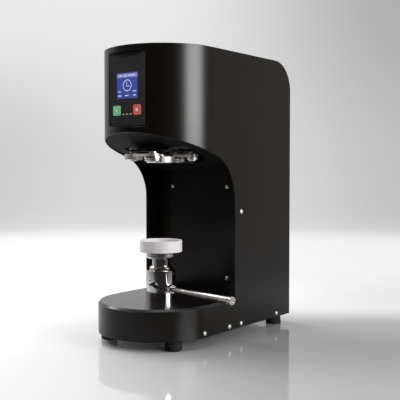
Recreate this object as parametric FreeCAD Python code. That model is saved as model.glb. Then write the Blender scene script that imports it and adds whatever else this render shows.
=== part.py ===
import FreeCAD, Part
import math
import os

# Bench-top can seamer.
# Frame: origin on the table under the can axis, +X to the lever side, -Y to the front, +Z up.
# All sizes are in millimetres.

Vec = FreeCAD.Vector

# Overall size
machine_width = 200.0
machine_depth = 360.0
machine_height = 481.0
front_overhang = 107.4        # can axis to the front of the base
base_nose_setback = 7.4       # can axis to the centre of the base's round nose, forwards
head_nose_offset = 9.5        # can axis to the centre of the head's round nose, backwards
housing_front = 74.5          # front edge of the housing sides below the head
throat_depth = 105.6          # can axis to the face of the throat panel

# Sheet metal and frame
skin_wall = 2.0
cover_wall = 2.0
rear_corner_radius = 52.0
seam_gap = 0.2
lip_drop = 166.8              # top of the machine to the head's lower edge beside the can axis
lip_slope = 0.32
lip_corner_radius = 75.0
underside_recess = 2.0
cheek_wall = 4.0
flange_wall = 3.0
throat_flange_wall = 2.0

# Base
foot_height = 16.0
foot_radius = 14.0
foot_recess_radius = 6.3
foot_screw_seat = 7.2
foot_screw_reach = 3.0         # length of a foot screw above the pan
front_foot_place = (70.0, -52.4)
rear_foot_x = 82.0
rear_foot_inset = 28.0        # back of the machine to the rear feet
pan_wall = 2.0
base_skin_top = 62.4
base_plate_wall = 5.0
base_plate_chamfer = 3.3

# Screws
screw_head_radius = 3.8
screw_head_height = 2.0
screw_shank_radius = 1.9
screw_clearance = 0.1
side_screw_length = 6.6
flange_screw_length = 4.6
screw_row_height = 22.8
column_screw_y = 92.9
rear_screw_inset = 46.6
base_screw_places = [(-10.0, screw_row_height), (58.1, screw_row_height)]
throat_flange_screw_y = 92.5
throat_flange_screw_drop = 267.3
throat_screw_x = 61.3
throat_screw_inset = 27.0
back_screw_x = 86.0
back_screw_low = 40.0
back_screw_drops = [266.0, 81.0]

# Helical lift
sleeve_radius = 24.35
sleeve_bore_radius = 16.3
sleeve_top = 116.5
spigot_radius = 20.0
shaft_radius = 14.8
shaft_bottom = 34.0
running_clearance = 0.05
gland_radius = 19.3
gland_height = 7.1
bush_length = 26.0
bush_flange_reach = 12.0
bush_flange_height = 6.0
stem_top = 136.2
flange_radius = 25.0
flange_height = 11.0
cup_radius = 35.35
cup_height = 19.3
cup_seat_radius = 33.25
cup_floor = 6.8
lift_travel = 10.0
lever_sweep = 90.0
lever_angle = -11.1           # direction of the lever at rest, from +X
lever_height = 86.2
lever_root_radius = 4.0
lever_end_radius = 6.2
lever_reach = 173.5
lever_taper_start = 36.0
lever_nut_flats = 14.0
lever_nut_width = 5.5
slot_clearance = 0.5
slot_end_ease = 0.15
pin_angle = -120.0
pin_height = 101.3
pin_radius = 2.4
moving_gap = 0.3

# Turret
turret_rest_angle = 37.5
rim_drop = 188.6              # top of the machine to the can rim with the lift down
chuck_lip_radius = 24.4
chuck_lip_drop = 6.2
chuck_flange_radius = 25.6
chuck_flange_height = 4.2
chuck_hub_radius = 10.0
chuck_hub_height = 0.8
chuck_shaft_radius = 6.0
spindle_radius = 10.0
spindle_bore_radius = 6.5
collar_radius = 13.0
arm_gap = 0.4
arm_wall = 3.9
carrier_gap = 4.0
carrier_wall = 3.0
carrier_radius = 34.0
lobe_radius = 8.5
roller_radius = 15.0
roller_height = 8.0
roller_pin_radius = 5.0
roller_rest_radius = 44.0
roller_gap = 0.2
pivot_pin_radius = 4.0
pivot_nut_flats = 12.0
pivot_nut_height = 2.4
pivot_pin_proud = 3.1
spindle_nut_flats = 26.0
spindle_nut_height = 4.0
arm_pivots = [(-45.5, 0.0), (53.5, -10.0)]
roller_angles = [-103.4, 46.1]
pivot_boss_radii = [15.0, 9.0]
arm_end_radius = 11.5
arm_root_radius = 10.5

# Head
mouth_radius = 72.0
mouth_front = -17.0
head_plate_gap = 12.1
head_plate_wall = 8.0
head_plate_front = -34.0
head_plate_back = 110.0
housing_bore_radius = 21.0
housing_wall = 8.0
housing_flange_radius = 42.0
bearing_height = 12.0
bearing_spacing = 36.0
housing_rim = 4.0
bridge_gap = 13.0
bridge_wall = 6.0
bridge_front = -18.0
bridge_back = 60.0
bridge_boss_radius = 16.0
housing_bolt_circle = 36.0
housing_bolt_radius = 2.6

# Drive
motor_share = 0.4014          # place of the motor between the throat panel and the back
motor_radius = 42.0
motor_length = 118.0
motor_plate_gap = 13.0
motor_plate_wall = 6.0
motor_plate_reach = 50.0
motor_pilot_radius = 20.0
motor_pilot_height = 4.0
motor_shaft_radius = 6.0
pulley_gap = 11.0
pulley_height = 18.0
pulley_flange = 1.5
spindle_pulley_radius = 42.0
motor_pulley_radius = 21.0
belt_wall = 2.5
belt_gap = 0.3

# Control panel
panel_width = 81.0
panel_height = 120.0
panel_drop = 9.0              # top of the machine to the top of the panel
panel_corner_radius = 6.0
panel_rim = 1.6
panel_fit = 0.1
panel_sheet = 1.0
panel_floor = 3.0
screen_width = 44.0
screen_height = 40.5
screen_rise = 46.0            # bottom of the panel to the bottom of the screen
screen_fit = 0.2
button_width = 16.5
button_height = 16.0
button_corner_radius = 2.5
button_x = 21.7
button_rise = 26.8
button_travel = 1.2
button_proud = 1.4
button_gap = 0.35
button_flange_wall = 1.4
button_stop_margin = 1.5
switch_gap = 0.5              # plunger to switch with the button fully pressed
switch_depth = 3.2
board_setback = 8.4           # panel floor to the front of the board
board_wall = 1.6
board_half_width = 38.0
board_margin = 4.0
standoff_radius = 3.2
standoff_x = 34.0
# Parts on the back of the board: x, height above the panel's bottom, width, height, depth
board_parts = [(-20, 63, 14, 14, 3), (12, 68, 22, 10, 6), (10, 43, 8, 26, 9),
               (-18, 88, 20, 12, 12), (0, 14, 46, 9, 8)]

# Power inlet and switch on the back
inlet_x = -45.0
inlet_z = 64.0
inlet_width = 27.0
inlet_height = 19.5
inlet_depth = 22.0
inlet_wall = 1.8
inlet_flange_wall = 1.6
switch_offset = 24.0
rocker_width = 12.0
rocker_radius = 7.2
rocker_tilt = 10.0

# Vents high on the back
vent_rows = 7
vent_x = 36.0
vent_drop = 181.0
vent_pitch = 12.0
vent_width = 46.0
vent_height = 4.6

# Power supply in the foot of the column
supply_left = -30.0
supply_right = 70.0
supply_gap = 12.4
supply_share = 0.56           # of the column's depth
supply_height = 38.0
supply_ear = 8.0

# Values that follow from the ones above
half_width = machine_width / 2
beyond = 2 * machine_height    # length of cutters that pass right through
base_nose_y = -base_nose_setback
head_nose_y = head_nose_offset
back_y = machine_depth - front_overhang
inner_half = half_width - skin_wall
fitted_half = inner_half - seam_gap
cheek_inner = inner_half - cheek_wall
pan_top = foot_height + pan_wall
base_plate_top = base_skin_top + base_plate_wall
throat_back = throat_depth + skin_wall
cover_inner_y = back_y - cover_wall
cover_inner_z = machine_height - cover_wall
lip_height = machine_height - lip_drop
rim_height = machine_height - rim_drop
panel_bottom = machine_height - panel_drop - panel_height
screen_bottom = panel_bottom + screen_rise
button_z = panel_bottom + button_rise
vent_low = machine_height - vent_drop
motor_offset = throat_back + motor_share * (cover_inner_y - throat_back)
supply_front = throat_back + supply_gap
supply_depth = supply_share * (cover_inner_y - throat_back)
supply_back = supply_front + supply_depth
rear_foot_place = (rear_foot_x, back_y - rear_foot_inset)
side_screw_places = [(column_screw_y, screw_row_height), (back_y - rear_screw_inset, screw_row_height)]
throat_flange_screw = (throat_flange_screw_y, machine_height - throat_flange_screw_drop)
back_screw_heights = [back_screw_low] + [machine_height - drop for drop in back_screw_drops]
lip_stretch = math.sqrt(1 + lip_slope ** 2)
gland_top = sleeve_top + gland_height
cup_bottom = stem_top + flange_height
cup_top = cup_bottom + cup_height
chuck_rim = rim_height + lift_travel
chuck_top = chuck_rim + chuck_flange_height
arm_bottom = chuck_top + arm_gap
arm_top = arm_bottom + arm_wall
carrier_bottom = arm_top + carrier_gap
carrier_top = carrier_bottom + carrier_wall
head_plate_bottom = carrier_top + head_plate_gap
roller_top = arm_bottom - roller_gap
roller_bottom = roller_top - roller_height
lower_bearing_z = head_plate_bottom
upper_bearing_z = lower_bearing_z + bearing_spacing
housing_top = upper_bearing_z + bearing_height + housing_rim
pulley_bottom = housing_top + pulley_gap
motor_plate_bottom = pulley_bottom - motor_plate_gap
pulley_top = pulley_bottom + pulley_height
bridge_bottom = pulley_top + bridge_gap
panel_top = panel_bottom + panel_height
panel_face = head_nose_y - math.sqrt(half_width ** 2 - (panel_width / 2) ** 2)
panel_floor_front = panel_face + panel_sheet
panel_floor_back = panel_floor_front + panel_floor


def save(name, shape):
    """Write one node and print its solids."""
    if not shape.isValid():
        print("invalid shape", name)
    shape.exportStep("parts/" + name + ".step")
    print(name, len(shape.Solids), "solids", round(shape.Volume, 1))


def block(x0, x1, y0, y1, z0, z1):
    """Box between two corners."""
    return Part.makeBox(x1 - x0, y1 - y0, z1 - z0, Vec(x0, y0, z0))


def disc(radius, z0, z1, x=0.0, y=0.0):
    """Upright cylinder."""
    return Part.makeCylinder(radius, z1 - z0, Vec(x, y, z0))


def ring(outer, inner, z0, z1, x=0.0, y=0.0):
    """Upright tube."""
    return disc(outer, z0, z1, x, y).cut(disc(inner, z0 - 1, z1 + 1, x, y))


def face_of(points):
    """Flat face with straight edges."""
    return Part.Face(Part.makePolygon(points + [points[0]]))


def turned(profile, x=0.0, y=0.0):
    """Solid turned about an upright axis from (radius, height) points."""
    face = face_of([Vec(r, 0, z) for r, z in profile])
    solid = face.revolve(Vec(0, 0, 0), Vec(0, 0, 1), 360)
    solid.translate(Vec(x, y, 0))
    return solid


def turned_along(profile, point, direction):
    """Solid turned from (radius, distance) points about a line through point."""
    solid = turned(profile)
    turn = FreeCAD.Rotation(Vec(0, 0, 1), direction)
    solid.Placement = FreeCAD.Placement(point, turn)
    return solid


def side_slab(profile, x0, x1):
    """Slab between two X planes from (y, z) points."""
    return face_of([Vec(x0, y, z) for y, z in profile]).extrude(Vec(x1 - x0, 0, 0))


def nose_block(half, nose_y, rear_y, z0, z1):
    """Upright block with a half-round front and a square back."""
    arc = Part.Arc(Vec(half, nose_y, z0), Vec(0, nose_y - half, z0), Vec(-half, nose_y, z0))
    sides = Part.makePolygon([Vec(-half, nose_y, z0), Vec(-half, rear_y, z0),
                              Vec(half, rear_y, z0), Vec(half, nose_y, z0)])
    outline = Part.Wire([arc.toShape()] + sides.Edges)
    return Part.Face(outline).extrude(Vec(0, 0, z1 - z0))


def rounded_block_y(x, z, width, height, radius, y0, y1):
    """Block along Y whose front outline is a rectangle with round corners."""
    solid = block(x - width / 2, x + width / 2, y0, y1, z - height / 2, z + height / 2)
    upright = [e for e in solid.Edges if abs(e.tangentAt(e.FirstParameter).y) > 0.9]
    return solid.makeFillet(radius, upright)


def hexagon(across_flats, z0, z1, x=0.0, y=0.0):
    """Upright hexagonal prism."""
    reach = across_flats / math.sqrt(3)
    corners = [Vec(x + reach * math.cos(math.radians(60 * k)),
                   y + reach * math.sin(math.radians(60 * k)), z0) for k in range(6)]
    return face_of(corners).extrude(Vec(0, 0, z1 - z0))


def group(solids):
    """Several separate solids in one node."""
    return Part.makeCompound(solids)


def cut_all(shape, tools):
    """Cut every tool out of a shape."""
    for tool in tools:
        shape = shape.cut(tool)
    return shape


def lip_z(y):
    """Height of the head's lower edge at a depth."""
    return lip_height - lip_slope * y


def underside_z(y):
    """Height of the lower face of the head's underside sheet at a depth."""
    return lip_z(y) + underside_recess


# Screws and their holes

def screw(point, direction, length):
    """Pan-head screw whose head rests on point; the shank runs against direction."""
    profile = [(0, -length), (screw_shank_radius, -length), (screw_shank_radius, 0),
               (screw_head_radius, 0), (screw_head_radius, screw_head_height * 0.45),
               (screw_head_radius * 0.72, screw_head_height), (0, screw_head_height)]
    return turned_along(profile, point, direction)


def screw_hole(point, direction, length):
    """Clearance hole for a screw."""
    profile = [(0, -length - 1), (screw_shank_radius + screw_clearance, -length - 1),
               (screw_shank_radius + screw_clearance, 1), (0, 1)]
    return turned_along(profile, point, direction)


def side_fixings():
    """Places of the screws in the housing sides, as (point, direction, length)."""
    fixings = []
    for side in (1, -1):
        outward = Vec(side, 0, 0)
        for y, z in side_screw_places + base_screw_places:
            fixings.append((Vec(side * half_width, y, z), outward, side_screw_length))
        y, z = throat_flange_screw
        fixings.append((Vec(side * half_width, y, z), outward, flange_screw_length))
    return fixings


def throat_fixings():
    """Places of the four screws in the throat panel."""
    low = base_plate_top + throat_screw_inset
    high = underside_z(throat_depth) - throat_screw_inset
    return [(Vec(side * throat_screw_x, throat_depth, z), Vec(0, -1, 0), flange_screw_length)
            for side in (1, -1) for z in (low, high)]


def back_fixings():
    """Places of the six screws in the back of the cover."""
    return [(Vec(side * back_screw_x, back_y, z), Vec(0, 1, 0), flange_screw_length)
            for side in (1, -1) for z in back_screw_heights]


def holes_for(fixings):
    """Holes for a list of fixings."""
    return [screw_hole(*fixing) for fixing in fixings]


# Housing

def housing_side_profile():
    """Side view of the housing sheet as a face at X = 0, with its round lip corner."""
    front = head_nose_y - half_width - 5
    arc_y = housing_front - lip_corner_radius
    arc_z = lip_z(arc_y) - lip_corner_radius * lip_stretch
    normal_y = lip_slope / lip_stretch
    normal_z = 1 / lip_stretch
    start = Vec(0, arc_y + lip_corner_radius * normal_y, arc_z + lip_corner_radius * normal_z)
    half_turn = math.atan2(normal_z, normal_y) / 2
    middle = Vec(0, arc_y + lip_corner_radius * math.cos(half_turn),
                 arc_z + lip_corner_radius * math.sin(half_turn))
    end = Vec(0, housing_front, arc_z)
    lip_arc = Part.Arc(start, middle, end).toShape()
    corner_y = back_y - rear_corner_radius
    corner_z = machine_height - rear_corner_radius
    reach = rear_corner_radius * math.sqrt(0.5)
    rear_low = Vec(0, back_y, corner_z)
    rear_high = Vec(0, corner_y, machine_height)
    rear_arc = Part.Arc(rear_low, Vec(0, corner_y + reach, corner_z + reach), rear_high).toShape()
    below = Part.makePolygon([end, Vec(0, housing_front, foot_height),
                              Vec(0, back_y, foot_height), rear_low])
    above = Part.makePolygon([rear_high, Vec(0, front, machine_height),
                              Vec(0, front, lip_z(front)), start])
    return Part.Face(Part.Wire([lip_arc] + below.Edges + [rear_arc] + above.Edges))


def panel_window(fit):
    """Cutter for the flat control panel in the nose, larger by fit all round."""
    return rounded_block_y(0, (panel_bottom + panel_top) / 2, panel_width + 2 * fit,
                           panel_height + 2 * fit, panel_corner_radius,
                           head_nose_y - half_width - 5, panel_floor_back + 2)


def make_housing_skin():
    """One bent sheet: both sides and the half-round nose of the head."""
    outer = nose_block(half_width, head_nose_y, back_y, foot_height, machine_height)
    inner = nose_block(inner_half, head_nose_y, back_y + 1, foot_height - 1, machine_height + 1)
    side_view = housing_side_profile().extrude(Vec(machine_width + 2, 0, 0))
    side_view.translate(Vec(-half_width - 1, 0, 0))
    skin = outer.cut(inner).common(side_view)
    return cut_all(skin, [panel_window(panel_fit)] + holes_for(side_fixings()))


def make_top_back_cover():
    """Bent sheet that closes the top, the round rear corner and the back."""
    profile = housing_side_profile()
    outer = profile.extrude(Vec(2 * fitted_half, 0, 0))
    outer.translate(Vec(-fitted_half, 0, 0))
    corner_y = back_y - rear_corner_radius
    corner_z = machine_height - rear_corner_radius
    bend = rear_corner_radius - cover_wall
    span = machine_width
    core = block(-span, span, -span, cover_inner_y, -1, corner_z)
    core = core.fuse(block(-span, span, -span, corner_y, -1, cover_inner_z))
    round_core = Part.makeCylinder(bend, 2 * span, Vec(-span, corner_y, corner_z), Vec(1, 0, 0))
    core = core.fuse(round_core)
    plan = nose_block(fitted_half, head_nose_y, back_y, foot_height, machine_height)
    cover = outer.cut(core).common(plan)
    cutters = holes_for(back_fixings()) + [inlet_cutter()] + vent_slots()
    return cut_all(cover, cutters)


def vent_slots():
    """Two columns of round-ended vents high on the back."""
    slots = []
    for side in (1, -1):
        for row in range(vent_rows):
            slots.append(rounded_block_y(side * vent_x, vent_low + vent_pitch * row, vent_width,
                                         vent_height, vent_height * 0.497,
                                         cover_inner_y - 1, back_y + 1))
    return slots


def make_throat_panel():
    """Set-back panel of the throat with side flanges that run forwards inside the housing."""
    top = underside_z(throat_depth) + skin_wall * lip_stretch
    bottom = base_plate_top + seam_gap
    flange_top = underside_z(throat_depth) - 1
    panel = block(-fitted_half, fitted_half, throat_depth, throat_back, bottom, top)
    for side in (1, -1):
        x0, x1 = sorted((side * fitted_half, side * (fitted_half - throat_flange_wall)))
        panel = panel.fuse(block(x0, x1, housing_front + 2, throat_depth, bottom, flange_top))
    return cut_all(panel.removeSplitter(), holes_for(throat_fixings() + side_fixings()))


def make_head_underside():
    """Sloping sheet under the head with the D-shaped mouth for the turret."""
    front = head_nose_y - fitted_half
    rear = throat_depth - seam_gap
    rise = skin_wall * lip_stretch
    sheet = side_slab([(front, underside_z(front)), (rear, underside_z(rear)),
                       (rear, underside_z(rear) + rise), (front, underside_z(front) + rise)],
                      -fitted_half, fitted_half)
    plan = nose_block(fitted_half, head_nose_y, rear + 1, 0, machine_height)
    mouth = disc(mouth_radius, 0, beyond).common(
        block(-half_width, half_width, mouth_front, half_width, 0, beyond))
    return sheet.common(plan).cut(mouth)


# Base

def make_base_skin():
    """Bent sheet round the front of the base."""
    rear = housing_front - seam_gap
    outer = nose_block(half_width, base_nose_y, rear, foot_height, base_skin_top)
    inner = nose_block(inner_half, base_nose_y, rear + 1, foot_height - 1, base_skin_top + 1)
    return cut_all(outer.cut(inner), holes_for(side_fixings()))


def make_base_plate():
    """Chamfered top plate of the base; behind the seam it is narrower, inside the housing."""
    wide = nose_block(half_width, base_nose_y, housing_front - seam_gap,
                      base_skin_top, base_plate_top)
    rim = [e for e in wide.Edges
           if e.BoundBox.ZMin > base_plate_top - 0.01 and e.BoundBox.YMin < housing_front - 1]
    wide = wide.makeChamfer(base_plate_chamfer, rim)
    narrow = block(-fitted_half, fitted_half, 0, throat_back, base_skin_top, base_plate_top)
    plate = wide.fuse(narrow).removeSplitter()
    return plate.cut(disc(spigot_radius + running_clearance, 0, beyond))


def make_bottom_pan():
    """Flat pan that closes the underside and carries the feet."""
    pan = nose_block(fitted_half, base_nose_y, cover_inner_y - seam_gap, foot_height, pan_top)
    return cut_all(pan, [disc(screw_shank_radius + screw_clearance, 0, beyond, x, y)
                         for x, y in foot_places()])


def foot_places():
    """Centres of the four feet."""
    return [(side * x, y) for x, y in (front_foot_place, rear_foot_place) for side in (1, -1)]


def make_foot(x, y):
    """Rubber foot with a recess for its screw."""
    profile = [(foot_recess_radius, 0), (foot_radius - 1, 0), (foot_radius, 1.5),
               (foot_radius - 1, foot_height),
               (screw_shank_radius + screw_clearance, foot_height),
               (screw_shank_radius + screw_clearance, foot_screw_seat),
               (foot_recess_radius, foot_screw_seat)]
    return turned(profile, x, y)


def make_foot_screws():
    """Screws that hold the feet to the pan."""
    length = pan_top + foot_screw_reach - foot_screw_seat
    return group([screw(Vec(x, y, foot_screw_seat), Vec(0, 0, -1), length)
                  for x, y in foot_places()])


# Inner frame

def make_cheek(side):
    """C-shaped side plate of the inner frame with its turned-in flanges."""
    rise = skin_wall * lip_stretch + seam_gap
    head_front = head_nose_y
    arm_front = base_nose_y - 12
    profile = [(arm_front, pan_top), (cover_inner_y, pan_top),
               (cover_inner_y, machine_height - rear_corner_radius),
               (back_y - rear_corner_radius, cover_inner_z - 4), (head_front, cover_inner_z - 4),
               (head_front, underside_z(head_front) + rise),
               (throat_back, underside_z(throat_depth) + rise),
               (throat_back, base_skin_top), (arm_front, base_skin_top)]
    x0, x1 = sorted((side * cheek_inner, side * inner_half))
    cheek = side_slab(profile, x0, x1)
    cheek = cheek.common(nose_block(inner_half, base_nose_y, back_y, 0, base_skin_top).fuse(
        block(-inner_half, inner_half, 0, back_y, base_skin_top, machine_height)))
    f0, f1 = sorted((side * cheek_inner, side * (throat_screw_x - 10)))
    front_flange = block(f0, f1, throat_back, throat_back + flange_wall,
                         base_plate_top + 6, underside_z(throat_back) - 6)
    r0, r1 = sorted((side * cheek_inner, side * (back_screw_x - 8)))
    rear_flange = block(r0, r1, cover_inner_y - flange_wall, cover_inner_y,
                        pan_top + 6, machine_height - rear_corner_radius - 4)
    cheek = cheek.fuse([front_flange, rear_flange]).removeSplitter()
    return cut_all(cheek, holes_for(side_fixings() + throat_fixings() + back_fixings()))


def make_head_plate():
    """Thick plate across the head that carries the spindle housing."""
    plate = nose_block(cheek_inner, head_nose_y, head_plate_back,
                       head_plate_bottom, head_plate_bottom + head_plate_wall)
    plate = plate.common(block(-half_width, half_width, head_plate_front, head_plate_back,
                               head_plate_bottom, head_plate_bottom + head_plate_wall))
    return plate.cut(disc(housing_bore_radius + housing_wall, 0, beyond))


def make_shaft_bridge():
    """Plate across the top of the frame that holds the chuck shaft still."""
    top = bridge_bottom + bridge_wall
    plate = nose_block(cheek_inner, head_nose_y, bridge_back, bridge_bottom, top)
    plate = plate.common(block(-half_width, half_width, bridge_front, bridge_back,
                               bridge_bottom, top))
    boss = disc(bridge_boss_radius, bridge_bottom - bridge_wall, bridge_bottom)
    return plate.fuse(boss).cut(disc(chuck_shaft_radius, 0, beyond))


def make_motor_plate():
    """Plate across the column that the motor hangs from."""
    top = motor_plate_bottom + motor_plate_wall
    plate = block(-cheek_inner, cheek_inner, motor_offset - motor_plate_reach,
                  motor_offset + motor_plate_reach, motor_plate_bottom, top)
    pilot_bore = motor_pilot_radius + running_clearance
    return plate.cut(disc(pilot_bore, 0, beyond, 0, motor_offset))


# Spindle, bearings and drive

def make_spindle_housing():
    """Flanged bearing housing that stands on the head plate."""
    outer = housing_bore_radius + housing_wall
    plate_top = head_plate_bottom + head_plate_wall
    top = housing_top
    lip = head_plate_bottom - 1.5
    profile = [(collar_radius + 1.5, lip), (outer - 1, lip), (outer, lip + 1), (outer, plate_top),
               (housing_flange_radius, plate_top), (housing_flange_radius, plate_top + 7),
               (outer + 2, plate_top + 9), (outer, plate_top + 14), (outer, top),
               (housing_bore_radius, top), (housing_bore_radius, lower_bearing_z),
               (collar_radius + 1.5, lower_bearing_z)]
    body = turned(profile)
    reach = housing_bolt_circle * math.sqrt(0.5)
    holes = [disc(housing_bolt_radius, plate_top - 1, plate_top + 12, x, y)
             for x in (-reach, reach) for y in (-reach, reach)]
    return cut_all(body, holes)


def make_bearing(z):
    """Ball bearing with shields."""
    inner = spindle_radius + running_clearance
    outer = housing_bore_radius - 0.02
    top = z + bearing_height
    profile = [(inner, z), (inner + 3, z), (inner + 3, z + 0.8), (outer - 3, z + 0.8), (outer - 3, z),
               (outer, z), (outer, top), (outer - 3, top), (outer - 3, top - 0.8),
               (inner + 3, top - 0.8), (inner + 3, top), (inner, top)]
    return turned(profile)


def make_spindle():
    """Hollow spindle with the collar that the carrier hangs under."""
    low = carrier_bottom - 5
    collar_top = lower_bearing_z + 0.05
    profile = [(spindle_bore_radius, low), (spindle_radius, low), (spindle_radius, carrier_top),
               (collar_radius, carrier_top), (collar_radius, collar_top),
               (spindle_radius, collar_top), (spindle_radius, pulley_top + 2),
               (spindle_bore_radius, pulley_top + 2)]
    return turned(profile)


def make_pulley(radius, bore, x, y):
    """Flanged belt pulley with a recessed web."""
    hub = bore + 6
    rim = radius - 4
    web = 5.0
    low = pulley_bottom
    top = pulley_top
    outer = radius + 3.5
    profile = [(bore, low), (hub, low), (hub, low + web), (rim, low + web), (rim, low), (outer, low),
               (outer, low + pulley_flange), (radius, low + pulley_flange),
               (radius, top - pulley_flange), (outer, top - pulley_flange), (outer, top),
               (rim, top), (rim, top - web), (hub, top - web), (hub, top), (bore, top)]
    return turned(profile, x, y)


def belt_loop(front_radius, rear_radius):
    """Face round both pulleys with tangent sides."""
    lean = math.asin((front_radius - rear_radius) / motor_offset)
    sin_lean = math.sin(lean)
    cos_lean = math.cos(lean)
    z = pulley_bottom + pulley_flange + 0.5

    def touch(radius, y, side):
        return Vec(side * radius * cos_lean, y + radius * sin_lean, z)

    front = Part.Arc(touch(front_radius, 0, 1), Vec(0, -front_radius, z),
                     touch(front_radius, 0, -1)).toShape()
    rear = Part.Arc(touch(rear_radius, motor_offset, -1), Vec(0, motor_offset + rear_radius, z),
                    touch(rear_radius, motor_offset, 1)).toShape()
    left = Part.LineSegment(touch(front_radius, 0, -1), touch(rear_radius, motor_offset, -1)).toShape()
    right = Part.LineSegment(touch(rear_radius, motor_offset, 1), touch(front_radius, 0, 1)).toShape()
    return Part.Face(Part.Wire([front, left, rear, right]))


def make_drive_belt():
    """Flat belt between the motor and the spindle."""
    width = pulley_height - 2 * pulley_flange - 1
    outer = belt_loop(spindle_pulley_radius + belt_gap + belt_wall,
                      motor_pulley_radius + belt_gap + belt_wall)
    inner = belt_loop(spindle_pulley_radius + belt_gap, motor_pulley_radius + belt_gap)
    return outer.cut(inner).extrude(Vec(0, 0, width))


def make_motor():
    """Motor body with its end bells, pilot and cooling grooves."""
    top = motor_plate_bottom
    low = top - motor_length
    r = motor_radius
    profile = [(8, low), (r - 6, low), (r - 2, low + 4), (r - 2, low + 16), (r, low + 18)]
    for k in range(4):
        z = low + 30 + 16 * k
        profile += [(r, z), (r - 1.5, z + 1.5), (r - 1.5, z + 4.5), (r, z + 6)]
    profile += [(r, top - 18), (r - 2, top - 16), (r - 2, top),
                (motor_pilot_radius, top), (motor_pilot_radius, top + motor_pilot_height),
                (motor_shaft_radius + 0.5, top + motor_pilot_height),
                (motor_shaft_radius + 0.5, low + 6), (8, low + 6)]
    return turned(profile, 0, motor_offset)


def make_motor_shaft():
    """Motor shaft."""
    low = motor_plate_bottom - motor_length + 8
    return turned([(0, low), (motor_shaft_radius, low), (motor_shaft_radius, pulley_top + 2),
                   (motor_shaft_radius - 1, pulley_top + 3), (0, pulley_top + 3)], 0, motor_offset)


# Chuck

def make_chuck_shaft():
    """Fixed shaft through the hollow spindle, with a locknut shoulder over the bridge."""
    low = chuck_rim - 1
    top = bridge_bottom + bridge_wall
    r = chuck_shaft_radius
    return turned([(0, low), (r, low), (r, top), (r + 4, top), (r + 4, top + 5), (r, top + 7),
                   (0, top + 7)])


def make_seaming_chuck():
    """Chuck with a tapered lip that fits inside the can's end."""
    low = chuck_rim - chuck_lip_drop
    bore = chuck_shaft_radius
    pocket = 17.0
    profile = [(bore, chuck_rim - 1), (pocket, chuck_rim - 1), (pocket + 1, low), (23.0, low),
               (chuck_lip_radius - 0.6, low + 0.8), (chuck_lip_radius, chuck_rim),
               (chuck_flange_radius - 0.4, chuck_rim), (chuck_flange_radius, chuck_rim + 0.4),
               (chuck_flange_radius, chuck_top - 1), (chuck_flange_radius - 1, chuck_top),
               (chuck_hub_radius, chuck_top), (chuck_hub_radius, chuck_top + chuck_hub_height),
               (bore, chuck_top + chuck_hub_height)]
    return turned(profile)


def make_chuck_screw():
    """Cap screw and washer that hold the chuck on its shaft."""
    seat = chuck_rim - 1
    washer = turned([(0, seat - 1.5), (12, seat - 1.5), (12, seat), (0, seat)])
    head = turned([(0, seat - 5), (6.0, seat - 5), (6.5, seat - 4.5), (6.5, seat - 1.5), (0, seat - 1.5)])
    return washer.fuse(head).removeSplitter().cut(hexagon(5, seat - 6, seat - 3))


# Turret

def at_turret_angle(shape):
    """Turn a turret piece from the turret's own layout to its rest angle."""
    turned_shape = shape.copy()
    turned_shape.rotate(Vec(0, 0, 0), Vec(0, 0, 1), turret_rest_angle)
    return turned_shape


def roller_place(index):
    """Centre of a seaming roller in the turret's own layout."""
    angle = math.radians(roller_angles[index])
    return roller_rest_radius * math.cos(angle), roller_rest_radius * math.sin(angle)


def tapered_link(start, start_radius, end, end_radius, z0, z1):
    """Plate with two round ends joined by tangent sides."""
    dx = end[0] - start[0]
    dy = end[1] - start[1]
    distance = math.hypot(dx, dy)
    heading = math.atan2(dy, dx)
    spread = math.acos((start_radius - end_radius) / distance)
    corners = []
    for centre, radius, angle in ((start, start_radius, heading + spread),
                                  (end, end_radius, heading + spread),
                                  (end, end_radius, heading - spread),
                                  (start, start_radius, heading - spread)):
        corners.append(Vec(centre[0] + radius * math.cos(angle),
                           centre[1] + radius * math.sin(angle), z0))
    web = face_of(corners).extrude(Vec(0, 0, z1 - z0))
    ends = [disc(start_radius, z0, z1, *start), disc(end_radius, z0, z1, *end)]
    return web.fuse(ends).removeSplitter()


def make_carrier():
    """Lobed plate that carries the two arm pivots round the can."""
    plate = disc(carrier_radius, carrier_bottom, carrier_top)
    lobes = [tapered_link((0, 0), carrier_radius - 4, pivot, lobe_radius,
                          carrier_bottom, carrier_top) for pivot in arm_pivots]
    plate = plate.fuse(lobes).removeSplitter()
    holes = [disc(pivot_pin_radius, 0, beyond, *pivot) for pivot in arm_pivots]
    return at_turret_angle(cut_all(plate, holes + [disc(spindle_radius, 0, beyond)]))


def make_spindle_nut():
    """Nut that clamps the carrier up against the spindle's collar."""
    nut = hexagon(spindle_nut_flats, carrier_bottom - spindle_nut_height, carrier_bottom)
    return at_turret_angle(nut.cut(disc(spindle_radius, 0, beyond)))


def boss_bottom():
    """Underside of the arm bosses."""
    return roller_bottom + 2.4


def make_pivot_pins():
    """Shouldered pins that hang from the carrier through the arm bosses."""
    shoulder = pivot_pin_radius + 2.5
    low = boss_bottom() - 2.2
    pins = []
    for x, y in arm_pivots:
        profile = [(0, low), (pivot_pin_radius, low), (pivot_pin_radius, arm_top + 0.2),
                   (shoulder, arm_top + 0.2), (shoulder, carrier_bottom),
                   (pivot_pin_radius, carrier_bottom),
                   (pivot_pin_radius, carrier_top + pivot_pin_proud - 0.5),
                   (pivot_pin_radius - 0.5, carrier_top + pivot_pin_proud),
                   (0, carrier_top + pivot_pin_proud)]
        pins.append(turned(profile, x, y))
    return at_turret_angle(group(pins))


def make_pivot_clips():
    """Retaining rings under the arm bosses."""
    low = boss_bottom() - 1.6
    return at_turret_angle(group([ring(pivot_pin_radius + 2.4, pivot_pin_radius, low, low + 1.3, x, y)
                                  for x, y in arm_pivots]))


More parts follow.
